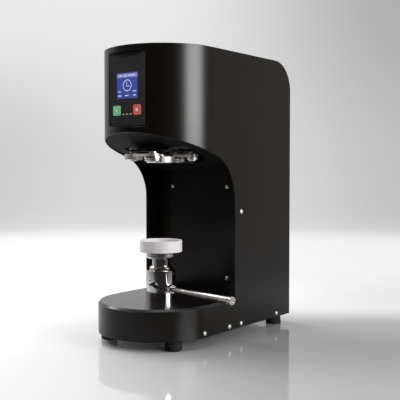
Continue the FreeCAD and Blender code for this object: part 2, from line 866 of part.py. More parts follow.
def make_pivot_nuts():
    """Nuts of the pivot pins on top of the carrier."""
    nuts = [hexagon(pivot_nut_flats, carrier_top, carrier_top + pivot_nut_height, x, y).cut(
        disc(pivot_pin_radius, 0, beyond, x, y)) for x, y in arm_pivots]
    return at_turret_angle(group(nuts))


def make_seaming_arm(index):
    """Arm from its pivot boss to its roller."""
    pivot = arm_pivots[index]
    place = roller_place(index)
    boss_radius = pivot_boss_radii[index]
    plate = tapered_link(pivot, min(boss_radius, arm_root_radius), place, arm_end_radius,
                         arm_bottom, arm_top)
    boss = turned([(0, boss_bottom()), (boss_radius - 0.8, boss_bottom()),
                   (boss_radius, boss_bottom() + 0.8), (boss_radius, arm_top - 0.8),
                   (boss_radius - 0.8, arm_top), (0, arm_top)], *pivot)
    arm = plate.fuse(boss).removeSplitter()
    arm = arm.cut(disc(pivot_pin_radius + running_clearance, 0, beyond, *pivot))
    return at_turret_angle(arm.cut(disc(roller_pin_radius, 0, beyond, *place)))


def make_seaming_roller(index):
    """Hardened roller with its seaming groove."""
    r = roller_radius
    low = roller_bottom
    top = roller_top
    depth = 1.4 - 0.5 * index
    bore = roller_pin_radius + running_clearance
    profile = [(bore, low), (r - 1.2, low), (r - 0.6, low + 0.6), (r - 0.6, low + 1.2),
               (r - depth, low + 2.0), (r - depth, low + 3.2), (r, low + 4.0), (r, top - 0.8),
               (r - 0.8, top), (bore, top)]
    return at_turret_angle(turned(profile, *roller_place(index)))


def make_roller_pin(index):
    """Pin of a roller: flange below the roller, hub above the arm."""
    r = roller_pin_radius
    low = roller_bottom - 0.2
    hubs = [[(6.5, arm_top), (6.5, arm_top + 3.0), (6.0, arm_top + 3.5)],
            [(9.3, arm_top), (9.3, arm_top + 3.0), (8.8, arm_top + 3.5), (6.0, arm_top + 3.5),
             (6.0, arm_top + 9.6), (5.4, arm_top + 10.2)]]
    hub = hubs[index]
    profile = [(0, low - 1.6), (r + 1.4, low - 1.6), (r + 2, low - 1), (r + 2, low), (r, low),
               (r, arm_top)] + hub + [(0, hub[-1][1])]
    return at_turret_angle(turned(profile, *roller_place(index)))


# Helical lift

def helical_slot(angle, z, half_height):
    """Cutters for a round-ended slot that climbs clockwise, seen from above, as the lever swings."""
    mid_radius = (sleeve_bore_radius + sleeve_radius) / 2
    reach = (sleeve_radius - sleeve_bore_radius) / 2 + 2
    pitch = lift_travel * 360 / lever_sweep
    path = Part.makeHelix(pitch, lift_travel, mid_radius, 0.0, True)
    lean = math.atan2(pitch, 2 * math.pi * mid_radius)
    corners = []
    for radial, across in ((-reach, -half_height), (reach, -half_height),
                           (reach, half_height), (-reach, half_height)):
        corners.append(Vec(mid_radius + radial, across * math.sin(lean), across * math.cos(lean)))
    outline = Part.makePolygon(corners + [corners[0]])
    cutters = [Part.Wire(path.Edges).makePipeShell([outline], True, True)]
    for turn, rise in ((0, 0), (lever_sweep, lift_travel)):
        end = Part.makeCylinder(half_height - slot_end_ease, sleeve_radius,
                                Vec(mid_radius - reach, 0, rise), Vec(1, 0, 0))
        end.rotate(Vec(0, 0, 0), Vec(0, 0, 1), -turn)
        cutters.append(end)
    for cutter in cutters:
        cutter.rotate(Vec(0, 0, 0), Vec(0, 0, 1), angle)
        cutter.translate(Vec(0, 0, z))
    return cutters


def make_cam_sleeve():
    """Fixed sleeve with the helical slots of the lever and of the guide pin."""
    low = base_skin_top
    seat = base_plate_top
    profile = [(sleeve_bore_radius, low), (spigot_radius, low), (spigot_radius, seat),
               (sleeve_radius, seat), (sleeve_radius, sleeve_top - 0.6), (sleeve_radius - 0.6, sleeve_top),
               (sleeve_bore_radius, sleeve_top)]
    sleeve = turned(profile)
    lever_slot = helical_slot(lever_angle, lever_height, lever_root_radius + slot_clearance)
    pin_slot = helical_slot(pin_angle, pin_height, pin_radius + slot_clearance)
    return cut_all(sleeve, lever_slot + pin_slot)


def make_gland_ring():
    """Chamfered guide ring on top of the sleeve."""
    bore = shaft_radius + running_clearance
    return turned([(bore, sleeve_top), (gland_radius, sleeve_top), (gland_radius, gland_top - 2.6),
                   (gland_radius - 2.6, gland_top), (bore, gland_top)])


def make_guide_bush():
    """Bronze bush under the base plate that guides the foot of the shaft."""
    bore = shaft_radius + running_clearance
    low = base_skin_top - bush_length
    seat = base_skin_top - bush_flange_height
    outer = spigot_radius + bush_flange_reach
    return turned([(bore, low), (spigot_radius - 1, low), (spigot_radius - 1, seat), (outer, seat),
                   (outer, base_skin_top), (bore, base_skin_top)])


def in_lever_direction(shape):
    """Turn a piece made along +X to the lever's rest direction and height."""
    moved = shape.copy()
    moved.rotate(Vec(0, 0, 0), Vec(0, 0, 1), lever_angle)
    moved.translate(Vec(0, 0, lever_height))
    return moved


def turned_on_lever(profile):
    """Piece turned about the lever's axis from (radius, distance) points."""
    return in_lever_direction(turned_along(profile, Vec(0, 0, 0), Vec(1, 0, 0)))


def make_lift_shaft():
    """Shaft that the lever turns and raises, with its spigot for the flange."""
    spigot = 8.0
    top = stem_top + flange_height - 2
    shaft = turned([(0, shaft_bottom), (shaft_radius - 1, shaft_bottom), (shaft_radius, shaft_bottom + 1),
                    (shaft_radius, stem_top - 0.6), (shaft_radius - 0.6, stem_top), (spigot, stem_top),
                    (spigot, top), (0, top)])
    lever_socket = turned_on_lever([(0, 4), (lever_root_radius, 4), (lever_root_radius, 30), (0, 30)])
    pin_socket = turned_along([(0, 8), (pin_radius, 8), (pin_radius, 30), (0, 30)],
                              Vec(0, 0, pin_height), pin_direction())
    return shaft.cut(lever_socket).cut(pin_socket)


def pin_direction():
    """Outward direction of the guide pin."""
    angle = math.radians(pin_angle)
    return Vec(math.cos(angle), math.sin(angle), 0)


def make_guide_pin():
    """Pin in the shaft that runs in the second helical slot."""
    tip = sleeve_radius - 0.5
    return turned_along([(0, 8), (pin_radius, 8), (pin_radius, tip - 0.5), (pin_radius - 0.5, tip),
                         (0, tip)], Vec(0, 0, pin_height), pin_direction())


def make_lever_rod():
    """Tapered lever rod screwed into the shaft."""
    tip = lever_reach - 7.0
    root = lever_root_radius
    end = lever_end_radius
    return turned_on_lever([(0, 4), (root, 4), (root, lever_taper_start), (end, tip), (end - 0.9, tip),
                            (end - 0.9, tip + 1.2), (0, tip + 1.2)])


def make_lever_nut():
    """Lock nut of the lever outside the sleeve."""
    start = sleeve_radius + 1.0
    end = start + lever_nut_width
    nut = hexagon(lever_nut_flats, start, end)
    wide = lever_nut_flats * 0.593
    bevel = turned([(0, start - 1), (wide, start - 1), (wide, end - 0.9),
                    (lever_nut_flats / 2, end + 0.5), (0, end + 0.5)])
    nut = nut.common(bevel).cut(disc(lever_root_radius, 0, beyond))
    nut.Placement = FreeCAD.Placement(Vec(0, 0, 0), FreeCAD.Rotation(Vec(0, 0, 1), Vec(1, 0, 0)))
    return in_lever_direction(nut)


def make_lever_cap():
    """End cap of the lever with a grooved rim."""
    start = lever_reach - 5.8
    end = lever_end_radius + 0.2
    return turned_on_lever([(0, start), (end, start), (end, lever_reach - 1), (end - 1, lever_reach),
                            (end - 2.2, lever_reach), (end - 2.6, lever_reach - 0.6),
                            (0, lever_reach - 0.6)])


def make_cup_flange():
    """Steel flange that rides on the shaft and carries the cup."""
    low = stem_top
    top = cup_bottom
    bore = 8.0 + running_clearance
    pocket = shaft_radius - 0.2
    r = flange_radius
    rest = low + moving_gap
    return turned([(bore, low + 3.2), (pocket, low + 3.2), (pocket, rest), (r - 3, rest),
                   (r - 0.9, low + 1.2), (r, low + 3.2), (r, top - 0.5), (r - 0.5, top), (bore, top)])


def make_thrust_bearing():
    """Thrust washer pack between the turning shaft and the flange."""
    return ring(shaft_radius - 0.5, 8.0 + moving_gap, stem_top + 0.02, stem_top + 3.18)


def make_can_cup():
    """White cup that the can stands in."""
    low = cup_bottom
    floor = low + cup_floor
    r = cup_radius
    seat = cup_seat_radius
    return turned([(0, low + 2), (8, low + 2), (8, low), (r - 1.2, low), (r, low + 1.2), (r, cup_top - 0.8),
                   (r - 0.6, cup_top), (seat + 0.6, cup_top), (seat, cup_top - 1), (seat, floor),
                   (seat - 6, floor), (seat - 7, floor - 1), (0, floor - 1)])


# Control panel

def button_places():
    """Start button on the left, stop button on the right."""
    return [("start_button", -button_x), ("stop_button", button_x)]


def screen_cutter(y0, y1):
    """Opening for the screen."""
    return block(-screen_width / 2 - screen_fit, screen_width / 2 + screen_fit, y0, y1,
                 screen_bottom - screen_fit, screen_bottom + screen_height + screen_fit)


def button_cutter(x, y0, y1):
    """Opening for a button."""
    return rounded_block_y(x, button_z, button_width + 2 * button_gap,
                           button_height + 2 * button_gap, button_corner_radius + button_gap, y0, y1)


def standoff_places():
    """Centres of the bosses that carry the control board."""
    return [(side * standoff_x, z) for side in (1, -1) for z in (panel_bottom + 10, panel_top - 12)]


def make_panel_frame():
    """Moulded frame let into the nose: flat floor, crescent ledges and board bosses."""
    front = head_nose_y - half_width - 5
    nose = nose_block(half_width, head_nose_y, half_width, panel_bottom - 5, machine_height)
    frame = panel_window(0.0).common(nose)
    frame = frame.common(block(-half_width, half_width, front, panel_floor_back,
                               panel_bottom - 5, panel_top + 5))
    inside = rounded_block_y(0, (panel_bottom + panel_top) / 2, panel_width - 2 * panel_rim,
                             panel_height - 2 * panel_rim, panel_corner_radius - panel_rim,
                             front, panel_floor_front)
    frame = frame.cut(inside).cut(screen_cutter(front, 0))
    for name, x in button_places():
        frame = frame.cut(button_cutter(x, front, panel_floor_back + 1))
    bosses = [Part.makeCylinder(standoff_radius, board_front() - panel_floor_back + 0.5,
                                Vec(x, panel_floor_back - 0.5, z), Vec(0, 1, 0))
              for x, z in standoff_places()]
    return frame.fuse(bosses).removeSplitter()


def board_front():
    """Front face of the control board."""
    return panel_floor_back + board_setback


def make_control_panel():
    """Thin face sheet of the panel with its openings."""
    sheet = rounded_block_y(0, (panel_bottom + panel_top) / 2, panel_width - 2 * panel_rim - 0.2,
                            panel_height - 2 * panel_rim - 0.2, panel_corner_radius - panel_rim,
                            panel_face, panel_floor_front)
    sheet = sheet.cut(screen_cutter(panel_face - 1, panel_floor_front + 1))
    for name, x in button_places():
        sheet = sheet.cut(button_cutter(x, panel_face - 1, panel_floor_front + 1))
    return sheet


def make_lcd_screen():
    """Glass of the screen."""
    return block(-screen_width / 2, screen_width / 2, panel_face + 0.2, panel_floor_back,
                 screen_bottom, screen_bottom + screen_height)


def make_lcd_module():
    """Screen module behind the glass."""
    margin = 4.0
    return block(-screen_width / 2 - margin, screen_width / 2 + margin,
                 panel_floor_back, board_front() - 0.1,
                 screen_bottom - margin, screen_bottom + screen_height + margin)


def make_button(x):
    """Push-button cap with its stop flange and plunger."""
    front = panel_face - button_proud
    cap = rounded_block_y(x, button_z, button_width, button_height, button_corner_radius,
                          front, panel_floor_back + moving_gap)
    margin = button_stop_margin
    rest = panel_floor_back + moving_gap
    flange = block(x - button_width / 2 - margin, x + button_width / 2 + margin,
                   rest, rest + button_flange_wall,
                   button_z - button_height / 2 - margin, button_z + button_height / 2 + margin)
    reach = board_front() - switch_depth - switch_gap - button_travel - rest
    plunger = Part.makeCylinder(2.0, reach, Vec(x, rest, button_z), Vec(0, 1, 0))
    return cap.fuse([flange, plunger]).removeSplitter()


def make_control_board():
    """Circuit board with the two button switches and some parts on its back."""
    front = board_front()
    back = front + board_wall
    board = block(-board_half_width, board_half_width, front, back,
                  panel_bottom + board_margin, panel_top - board_margin)
    for name, x in button_places():
        board = board.fuse(block(x - 3, x + 3, front - switch_depth, front, button_z - 3, button_z + 3))
    for x, rise, width, height, deep in board_parts:
        z = panel_bottom + rise
        board = board.fuse(block(x - width / 2, x + width / 2, back, back + deep,
                                 z - height / 2, z + height / 2))
    return board.removeSplitter()


# Power

def make_power_supply():
    """Boxed power supply on the pan in the foot of the column."""
    box = block(supply_left, supply_right, supply_front, supply_back, pan_top, pan_top + supply_height)
    ears = block(supply_left - supply_ear, supply_right + supply_ear,
                 supply_front + supply_depth / 4, supply_front + supply_depth / 2, pan_top, pan_top + 2)
    terminals = block(supply_left + 10, supply_right - 30, supply_back, supply_back + supply_ear,
                      pan_top + 6, pan_top + 18)
    return box.fuse([ears, terminals]).removeSplitter()


def inlet_cutter():
    """Opening of the inlet module in the cover."""
    high = inlet_height / 2 + switch_offset + 10
    return block(inlet_x - inlet_width / 2 - 0.2, inlet_x + inlet_width / 2 + 0.2,
                 cover_inner_y - 1, back_y + 1, inlet_z - inlet_height / 2 - 0.2, inlet_z + high + 0.2)


def switch_centre():
    """Axis height of the rocker switch."""
    return inlet_z + switch_offset


def make_power_inlet():
    """Inlet module: three-pin socket with the rocker switch's well above it."""
    high = inlet_height / 2 + switch_offset + 10
    body = block(inlet_x - inlet_width / 2, inlet_x + inlet_width / 2, back_y - inlet_depth, back_y,
                 inlet_z - inlet_height / 2, inlet_z + high)
    flange = rounded_block_y(inlet_x, inlet_z - inlet_height / 2 + (inlet_height / 2 + high) / 2,
                             inlet_width + 8, inlet_height / 2 + high + 8, 4,
                             back_y, back_y + inlet_flange_wall)
    body = body.fuse(flange).removeSplitter()
    socket = block(inlet_x - inlet_width / 2 + inlet_wall, inlet_x + inlet_width / 2 - inlet_wall,
                   back_y - 16, back_y + 5, inlet_z - inlet_height / 2 + inlet_wall,
                   inlet_z + inlet_height / 2 - inlet_wall)
    body = body.cut(socket)
    for dx, dz in ((-7, -2.0), (7, -2.0), (0, 2.0)):
        body = body.fuse(block(inlet_x + dx - 1, inlet_x + dx + 1, back_y - 17, back_y - 7,
                               inlet_z + dz - 2, inlet_z + dz + 2))
    half = rocker_width / 2 + moving_gap
    well = Part.makeCylinder(rocker_radius + moving_gap, 2 * half,
                             Vec(inlet_x - half, back_y, switch_centre()), Vec(1, 0, 0))
    return body.cut(well)


def make_switch_rocker():
    """Rocker with a shallow V face, resting with its upper end pressed in."""
    r = rocker_radius
    z = switch_centre()
    x0 = inlet_x - rocker_width / 2
    rim = 3.4
    reach = math.sqrt(r ** 2 - rim ** 2)
    arc = Part.Arc(Vec(x0, back_y + rim, z - reach), Vec(x0, back_y - r, z),
                   Vec(x0, back_y + rim, z + reach)).toShape()
    face = Part.makePolygon([Vec(x0, back_y + rim, z + reach), Vec(x0, back_y + 1.8, z),
                             Vec(x0, back_y + rim, z - reach)])
    rocker = Part.Face(Part.Wire([arc] + face.Edges)).extrude(Vec(rocker_width, 0, 0))
    rocker.rotate(Vec(inlet_x, back_y, z), Vec(1, 0, 0), rocker_tilt)
    return rocker


def make_all():
    """Write every node."""
    save("housing_skin", make_housing_skin())
    save("top_back_cover", make_top_back_cover())
    save("throat_panel", make_throat_panel())
    save("head_underside", make_head_underside())
    save("base_skin", make_base_skin())
    save("base_plate", make_base_plate())
    save("bottom_pan", make_bottom_pan())
    save("feet", group([make_foot(x, y) for x, y in foot_places()]))
    save("foot_screws", make_foot_screws())
    save("housing_screws", group([screw(*fixing) for fixing in side_fixings()]))
    save("panel_screws", group([screw(*fixing) for fixing in throat_fixings() + back_fixings()]))
    save("right_cheek", make_cheek(1))
    save("left_cheek", make_cheek(-1))
    save("head_plate", make_head_plate())
    save("shaft_bridge", make_shaft_bridge())
    save("motor_plate", make_motor_plate())
    save("spindle_housing", make_spindle_housing())
    save("spindle_bearings", group([make_bearing(lower_bearing_z + 0.1), make_bearing(upper_bearing_z)]))
    save("spindle", make_spindle())
    save("spindle_pulley", make_pulley(spindle_pulley_radius, spindle_radius, 0, 0))
    save("motor_pulley", make_pulley(motor_pulley_radius, motor_shaft_radius, 0, motor_offset))
    save("drive_belt", make_drive_belt())
    save("motor", make_motor())
    save("motor_shaft", make_motor_shaft())
    save("chuck_shaft", make_chuck_shaft())
    save("seaming_chuck", make_seaming_chuck())
    save("chuck_screw", make_chuck_screw())
    save("carrier", make_carrier())
    save("spindle_nut", make_spindle_nut())
    save("pivot_pins", make_pivot_pins())
    save("pivot_clips", make_pivot_clips())
    save("pivot_nuts", make_pivot_nuts())
    for index in (0, 1):
        number = str(index + 1)
        save("seaming_arm_" + number, make_seaming_arm(index))
        save("seaming_roller_" + number, make_seaming_roller(index))
        save("roller_pin_" + number, make_roller_pin(index))
    save("cam_sleeve", make_cam_sleeve())
    save("gland_ring", make_gland_ring())
    save("guide_bush", make_guide_bush())
    save("lift_shaft", make_lift_shaft())
    save("guide_pin", make_guide_pin())
    save("lever_rod", make_lever_rod())
    save("lever_nut", make_lever_nut())
    save("lever_cap", make_lever_cap())
    save("cup_flange", make_cup_flange())
    save("thrust_bearing", make_thrust_bearing())
    save("can_cup", make_can_cup())
    save("panel_frame", make_panel_frame())
    save("control_panel", make_control_panel())
    save("lcd_screen", make_lcd_screen())
    save("lcd_module", make_lcd_module())
    for name, x in button_places():
        save(name, make_button(x))
    save("control_board", make_control_board())
    save("power_supply", make_power_supply())
    save("power_inlet", make_power_inlet())
    save("switch_rocker", make_switch_rocker())


os.makedirs("parts", exist_ok=True)
make_all()
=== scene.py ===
"""Looks of a bench-top can seamer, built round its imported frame.

Lengths in the classes are millimetres, as on a workshop drawing; the meshes are made in metres.
"""
import logging
import math
from abc import ABC, abstractmethod
from dataclasses import dataclass, field
from enum import Enum
from typing import Any, Callable, Iterable, Sequence

import bmesh
import bpy
from mathutils import Matrix, Vector

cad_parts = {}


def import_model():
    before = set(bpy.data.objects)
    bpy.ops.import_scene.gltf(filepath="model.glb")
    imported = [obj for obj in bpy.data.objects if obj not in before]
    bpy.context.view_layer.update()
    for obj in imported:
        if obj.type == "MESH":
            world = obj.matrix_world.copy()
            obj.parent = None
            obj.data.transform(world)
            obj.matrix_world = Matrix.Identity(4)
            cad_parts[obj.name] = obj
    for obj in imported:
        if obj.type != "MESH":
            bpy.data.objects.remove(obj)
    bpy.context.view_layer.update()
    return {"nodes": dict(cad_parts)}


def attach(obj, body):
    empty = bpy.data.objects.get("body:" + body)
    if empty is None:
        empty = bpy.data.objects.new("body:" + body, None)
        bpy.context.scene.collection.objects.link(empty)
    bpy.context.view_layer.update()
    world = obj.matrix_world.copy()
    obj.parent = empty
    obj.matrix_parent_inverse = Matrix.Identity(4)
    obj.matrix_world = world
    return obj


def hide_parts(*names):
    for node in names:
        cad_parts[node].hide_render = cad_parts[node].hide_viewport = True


LOG = logging.getLogger("can_seamer")
MM = 0.001

Point2 = tuple[float, float]
Point3 = tuple[float, float, float]
Colour = tuple[float, float, float]
Bar = tuple[float, float, float, float]

BLACK: Colour = (0.0, 0.0, 0.0)
UPRIGHT = Vector((0, 0, 1))
RIGHT = Vector((1, 0, 0))

# Nearly all of a fractal noise lies between these values.
NOISE_LOW, NOISE_HIGH = 0.3, 0.7
# Sockets of a Mix node that mixes colours.
MIX_FACTOR, MIX_FIRST, MIX_SECOND, MIX_RESULT = 0, 6, 7, 2

# Lengths in millimetres and turns in radians below these count as nothing.
NO_LENGTH = 1e-6
NO_ROUNDING = 1e-4
NO_TURN = 1e-3
# Share of a side that the rounding of one corner may take.
LARGEST_SHARE = 0.49
# Largest angles in degrees between the points of a rounding.
LATHE_STEP = 22.5
SHEET_STEP = 12.0
# Sides of slender turned pieces, of most of them and of the widest.
SLENDER_SEGMENTS, SEGMENTS, WIDE_SEGMENTS = 64, 96, 128
# Steps in the rounded edge of a sheet, and the distance at which a cut meets a point.
EDGE_STEPS = 3
CUT_TOLERANCE = 1e-5


# Shader nodes

class Shader:
    """A material under construction, with short calls for adding and linking nodes."""

    def __init__(self, name: str) -> None:
        """Start an empty node tree with a Principled shader.

        Args:
            name: Name of the material.
        """
        self.material = bpy.data.materials.new(name)
        self.material.use_nodes = True
        self.tree = self.material.node_tree
        self.tree.nodes.clear()
        self.output = self.tree.nodes.new("ShaderNodeOutputMaterial")
        self.surface = self.add("BsdfPrincipled")
        self.link(self.surface.outputs["BSDF"], self.output.inputs["Surface"])

    def add(self, kind: str, **settings: Any) -> bpy.types.Node:
        """Add a node and set its properties.

        Args:
            kind: Node type without the ShaderNode prefix.
            settings: Properties of the node.

        Returns:
            The new node.
        """
        node = self.tree.nodes.new("ShaderNode" + kind)
        for key, value in settings.items():
            setattr(node, key, value)
        return node

    def link(self, source: Any, target: Any) -> None:
        """Link an output socket, or set a plain value, on an input socket.

        Args:
            source: Output socket or plain value.
            target: Input socket.
        """
        if isinstance(source, bpy.types.NodeSocket):
            self.tree.links.new(source, target)
        else:
            target.default_value = source

    def put(self, **values: Any) -> None:
        """Set or link sockets of the Principled shader; underscores stand for spaces."""
        for key, value in values.items():
            self.link(value, self.surface.inputs[key.replace("_", " ")])

    def math(self, operation: str, *values: Any) -> bpy.types.NodeSocket:
        """Add a math node.

        Args:
            operation: Name of the operation.
            values: Sockets or numbers for its inputs.

        Returns:
            The result socket.
        """
        node = self.add("Math", operation=operation)
        for target, value in zip(node.inputs, values):
            self.link(value, target)
        return node.outputs[0]

    def hypotenuse(self, first: Any, second: Any) -> bpy.types.NodeSocket:
        """Distance from the origin of a plane.

        Args:
            first: First coordinate.
            second: Second coordinate.

        Returns:
            The distance socket.
        """
        squares = (self.math("MULTIPLY", value, value) for value in (first, second))
        return self.math("SQRT", self.math("ADD", *squares))

    def place(self, scale: Sequence[float] = (1, 1, 1)) -> bpy.types.NodeSocket:
        """Object coordinates in metres.

        Args:
            scale: Stretch along each axis.

        Returns:
            The coordinate socket.
        """
        coordinates = self.add("TexCoord")
        mapping = self.add("Mapping")
        mapping.inputs["Scale"].default_value = scale
        self.link(coordinates.outputs["Object"], mapping.inputs["Vector"])
        return mapping.outputs["Vector"]

    def axes(self) -> Sequence[bpy.types.NodeSocket]:
        """Object coordinates in metres, one socket for each axis.

        Returns:
            The three sockets.
        """
        split = self.add("SeparateXYZ")
        self.link(self.place(), split.inputs[0])
        return split.outputs

    def noise(self, scale: float, detail: float = 3.0, vector: Any = None) -> bpy.types.NodeSocket:
        """Fractal noise.

        Args:
            scale: Cells per metre.
            detail: Number of octaves.
            vector: Coordinates; the object's own where none are given.

        Returns:
            The noise value.
        """
        node = self.add("TexNoise")
        node.inputs["Scale"].default_value = scale
        node.inputs["Detail"].default_value = detail
        self.link(self.place() if vector is None else vector, node.inputs["Vector"])
        return node.outputs["Fac"]

    def remap(self, value: Any, span: Point2, levels: Point2,
              kind: str = "LINEAR") -> bpy.types.NodeSocket:
        """Carry a value from one range to another.

        Args:
            value: Socket with the value.
            span: Values at which the levels are reached.
            levels: Level at each end of the span.
            kind: Shape of the way between them.

        Returns:
            The result socket.
        """
        node = self.add("MapRange", interpolation_type=kind)
        for name, number in zip(("From Min", "From Max", "To Min", "To Max"), (*span, *levels)):
            node.inputs[name].default_value = number
        self.link(value, node.inputs["Value"])
        return node.outputs["Result"]

    def spread(self, value: Any, low: float, high: float) -> bpy.types.NodeSocket:
        """Map the useful middle of a noise to a range."""
        return self.remap(value, (NOISE_LOW, NOISE_HIGH), (low, high))

    def blend(self, factor: Any, first: Any, second: Any) -> bpy.types.NodeSocket:
        """Mix two colours.

        Args:
            factor: Share of the second colour.
            first: Socket or plain colour.
            second: Socket or plain colour.

        Returns:
            The mixed colour.
        """
        node = self.add("Mix", data_type="RGBA")
        for index, value in ((MIX_FACTOR, factor), (MIX_FIRST, first), (MIX_SECOND, second)):
            self.link((*value, 1) if isinstance(value, tuple) else value, node.inputs[index])
        return node.outputs[MIX_RESULT]

    def bump(self, height: Any, distance: float, strength: float = 1.0) -> bpy.types.NodeSocket:
        """Bump from a height.

        Args:
            height: Height socket.
            distance: Depth in metres of a full step of height.
            strength: Share of the bump that shows.

        Returns:
            The normal socket.
        """
        node = self.add("Bump")
        node.inputs["Distance"].default_value = distance
        node.inputs["Strength"].default_value = strength
        self.link(height, node.inputs["Height"])
        return node.outputs["Normal"]


@dataclass(frozen=True)
class Finish(ABC):
    """A surface finish that is built once and shared."""
    name: str
    colour: Colour = BLACK
    roughness: float = 0.4
    shared_slot: str = ""

    @abstractmethod
    def dress(self, shader: Shader) -> None:
        """Add this finish's nodes."""

    @property
    def slot(self) -> str:
        """Name of the record's slot, which some finishes share."""
        return self.shared_slot or self.name

    def build(self) -> bpy.types.Material:
        """Make the material on first use.

        Returns:
            The material.
        """
        found = bpy.data.materials.get("finish_" + self.name)
        if found:
            return found
        shader = Shader("finish_" + self.name)
        self.dress(shader)
        return shader.material

    def tint(self, share: float) -> Colour:
        """The colour made lighter or darker by a share."""
        return tuple(min(1.0, channel * share) for channel in self.colour)

    def clouded(self, shader: Shader, cloud: Any, dark: float, light: float) -> bpy.types.NodeSocket:
        """The colour drifting between two tints along a noise."""
        return shader.blend(shader.spread(cloud, 0.0, 1.0), self.tint(dark), self.tint(light))

    def worn(self, shader: Shader, cloud: Any, below: float, above: float) -> bpy.types.NodeSocket:
        """The roughness drifting below and above its level along a noise."""
        return shader.spread(cloud, self.roughness - below, self.roughness + above)


@dataclass(frozen=True)
class PowderCoat(Finish):
    """Baked powder paint with a fine orange peel."""
    peel: float = 0.00003
    peel_scale: float = 700.0
    cloud_scale: float = 22.0
    speck_scale: float = 2600.0
    speck_share: float = 0.25
    resin: float = 0.5

    def dress(self, shader: Shader) -> None:
        """Peel bump, faint cloud in the colour and small swings of roughness.

        Args:
            shader: Material that gets the nodes.
        """
        cloud = shader.noise(self.cloud_scale, detail=4.0)
        speck = shader.spread(shader.noise(self.speck_scale, detail=2.0), 0.0, self.speck_share)
        tone = shader.blend(speck, self.clouded(shader, cloud, dark=0.97, light=1.04), self.tint(1.5))
        peel = shader.noise(self.peel_scale, detail=2.0)
        shader.put(Base_Color=tone,
                   Roughness=self.worn(shader, cloud, below=0.006, above=0.006),
                   Specular_IOR_Level=self.resin,
                   Normal=shader.bump(peel, self.peel, strength=0.6))


@dataclass(frozen=True)
class TurnedSteel(Finish):
    """Lathe-turned metal: rings round the piece's upright axis and a stretched highlight."""
    ring_scale: float = 900.0
    girth_scale: float = 14.0
    ring_depth: float = 0.000004
    ring_wear: float = 0.04
    stain_scale: float = 45.0
    smear: float = 0.4

    def dress(self, shader: Shader) -> None:
        """Rings as noise stretched round the axis, with faint stains.

        Args:
            shader: Material that gets the nodes.
        """
        rings = shader.noise(1.0, detail=2.0,
                             vector=shader.place((self.girth_scale, self.girth_scale, self.ring_scale)))
        stain = shader.noise(self.stain_scale, detail=4.0)
        rough = shader.math("ADD", shader.spread(rings, -self.ring_wear, self.ring_wear),
                            self.worn(shader, stain, below=0.02, above=0.03))
        shader.put(Base_Color=self.clouded(shader, stain, dark=0.93, light=1.04),
                   Metallic=1.0,
                   Roughness=rough,
                   Anisotropic=self.smear,
                   Normal=shader.bump(rings, self.ring_depth, strength=0.5))


@dataclass(frozen=True)
class GroundSteel(Finish):
    """Flat-ground or milled metal with short scratches."""
    scratch: float = 0.000006
    scratch_wear: float = 0.05
    direction: Point3 = (60.0, 1400.0, 60.0)
    cloud_scale: float = 60.0

    def dress(self, shader: Shader) -> None:
        """Scratches in one direction over a cloudy base.

        Args:
            shader: Material that gets the nodes.
        """
        lines = shader.noise(1.0, detail=3.0, vector=shader.place(self.direction))
        cloud = shader.noise(self.cloud_scale, detail=5.0)
        rough = shader.math("ADD", shader.spread(lines, -self.scratch_wear, self.scratch_wear),
                            self.worn(shader, cloud, below=0.03, above=0.05))
        shader.put(Base_Color=self.clouded(shader, cloud, dark=0.85, light=1.06),
                   Metallic=1.0,
                   Roughness=rough,
                   Normal=shader.bump(lines, self.scratch, strength=0.5))


@dataclass(frozen=True)
class Moulding(Finish):
    """Moulded plastic or nylon with a fine texture."""
    grain: float = 0.00001
    grain_scale: float = 1500.0
    marble_scale: float = 35.0
    depth_of_light: float = 0.0
    light_reach: float = 0.002
    light_tone: Colour = (1.0, 0.9, 0.8)

    def dress(self, shader: Shader) -> None:
        """Fine grain, slight marbling and, for nylon, light that enters the surface.

        Args:
            shader: Material that gets the nodes.
        """
        marble = shader.noise(self.marble_scale, detail=4.0)
        grain = shader.noise(self.grain_scale, detail=2.0)
        shader.put(Base_Color=self.clouded(shader, marble, dark=0.95, light=1.04),
                   Roughness=self.worn(shader, marble, below=0.03, above=0.04),
                   Normal=shader.bump(grain, self.grain, strength=0.5))
        if self.depth_of_light:
            shader.put(Subsurface_Weight=self.depth_of_light,
                       Subsurface_Scale=self.light_reach,
                       Subsurface_Radius=self.light_tone)


@dataclass(frozen=True)
class Rubber(Finish):
    """Dull rubber with a dusty bloom."""
    grain: float = 0.00004
    grain_scale: float = 900.0
    bloom_scale: float = 120.0
    bloom_share: float = 0.6
    sheen: float = 0.3

    def dress(self, shader: Shader) -> None:
        """Bloom where the noise is high, and a coarse grain.

        Args:
            shader: Material that gets the nodes.
        """
        bloom = shader.noise(self.bloom_scale, detail=5.0)
        grain = shader.noise(self.grain_scale, detail=3.0)
        tone = shader.blend(shader.spread(bloom, 0.0, self.bloom_share), self.colour, self.tint(2.2))
        shader.put(Base_Color=tone,
                   Specular_IOR_Level=self.sheen,
                   Roughness=self.worn(shader, bloom, below=0.05, above=0.1),
                   Normal=shader.bump(grain, self.grain, strength=0.6))


@dataclass(frozen=True)
class Galvanised(Finish):
    """Zinc-coated sheet with spangles."""
    spangle_scale: float = 160.0
    zinc: float = 0.9

    def dress(self, shader: Shader) -> None:
        """Spangles from cells of different tone.

        Args:
            shader: Material that gets the nodes.
        """
        cells = shader.add("TexVoronoi")
        cells.inputs["Scale"].default_value = self.spangle_scale
        shader.link(shader.place(), cells.inputs["Vector"])
        shader.put(Base_Color=shader.blend(cells.outputs["Color"], self.tint(0.82), self.tint(1.1)),
                   Metallic=self.zinc,
                   Roughness=self.worn(shader, cells.outputs["Distance"], below=0.08, above=0.0))


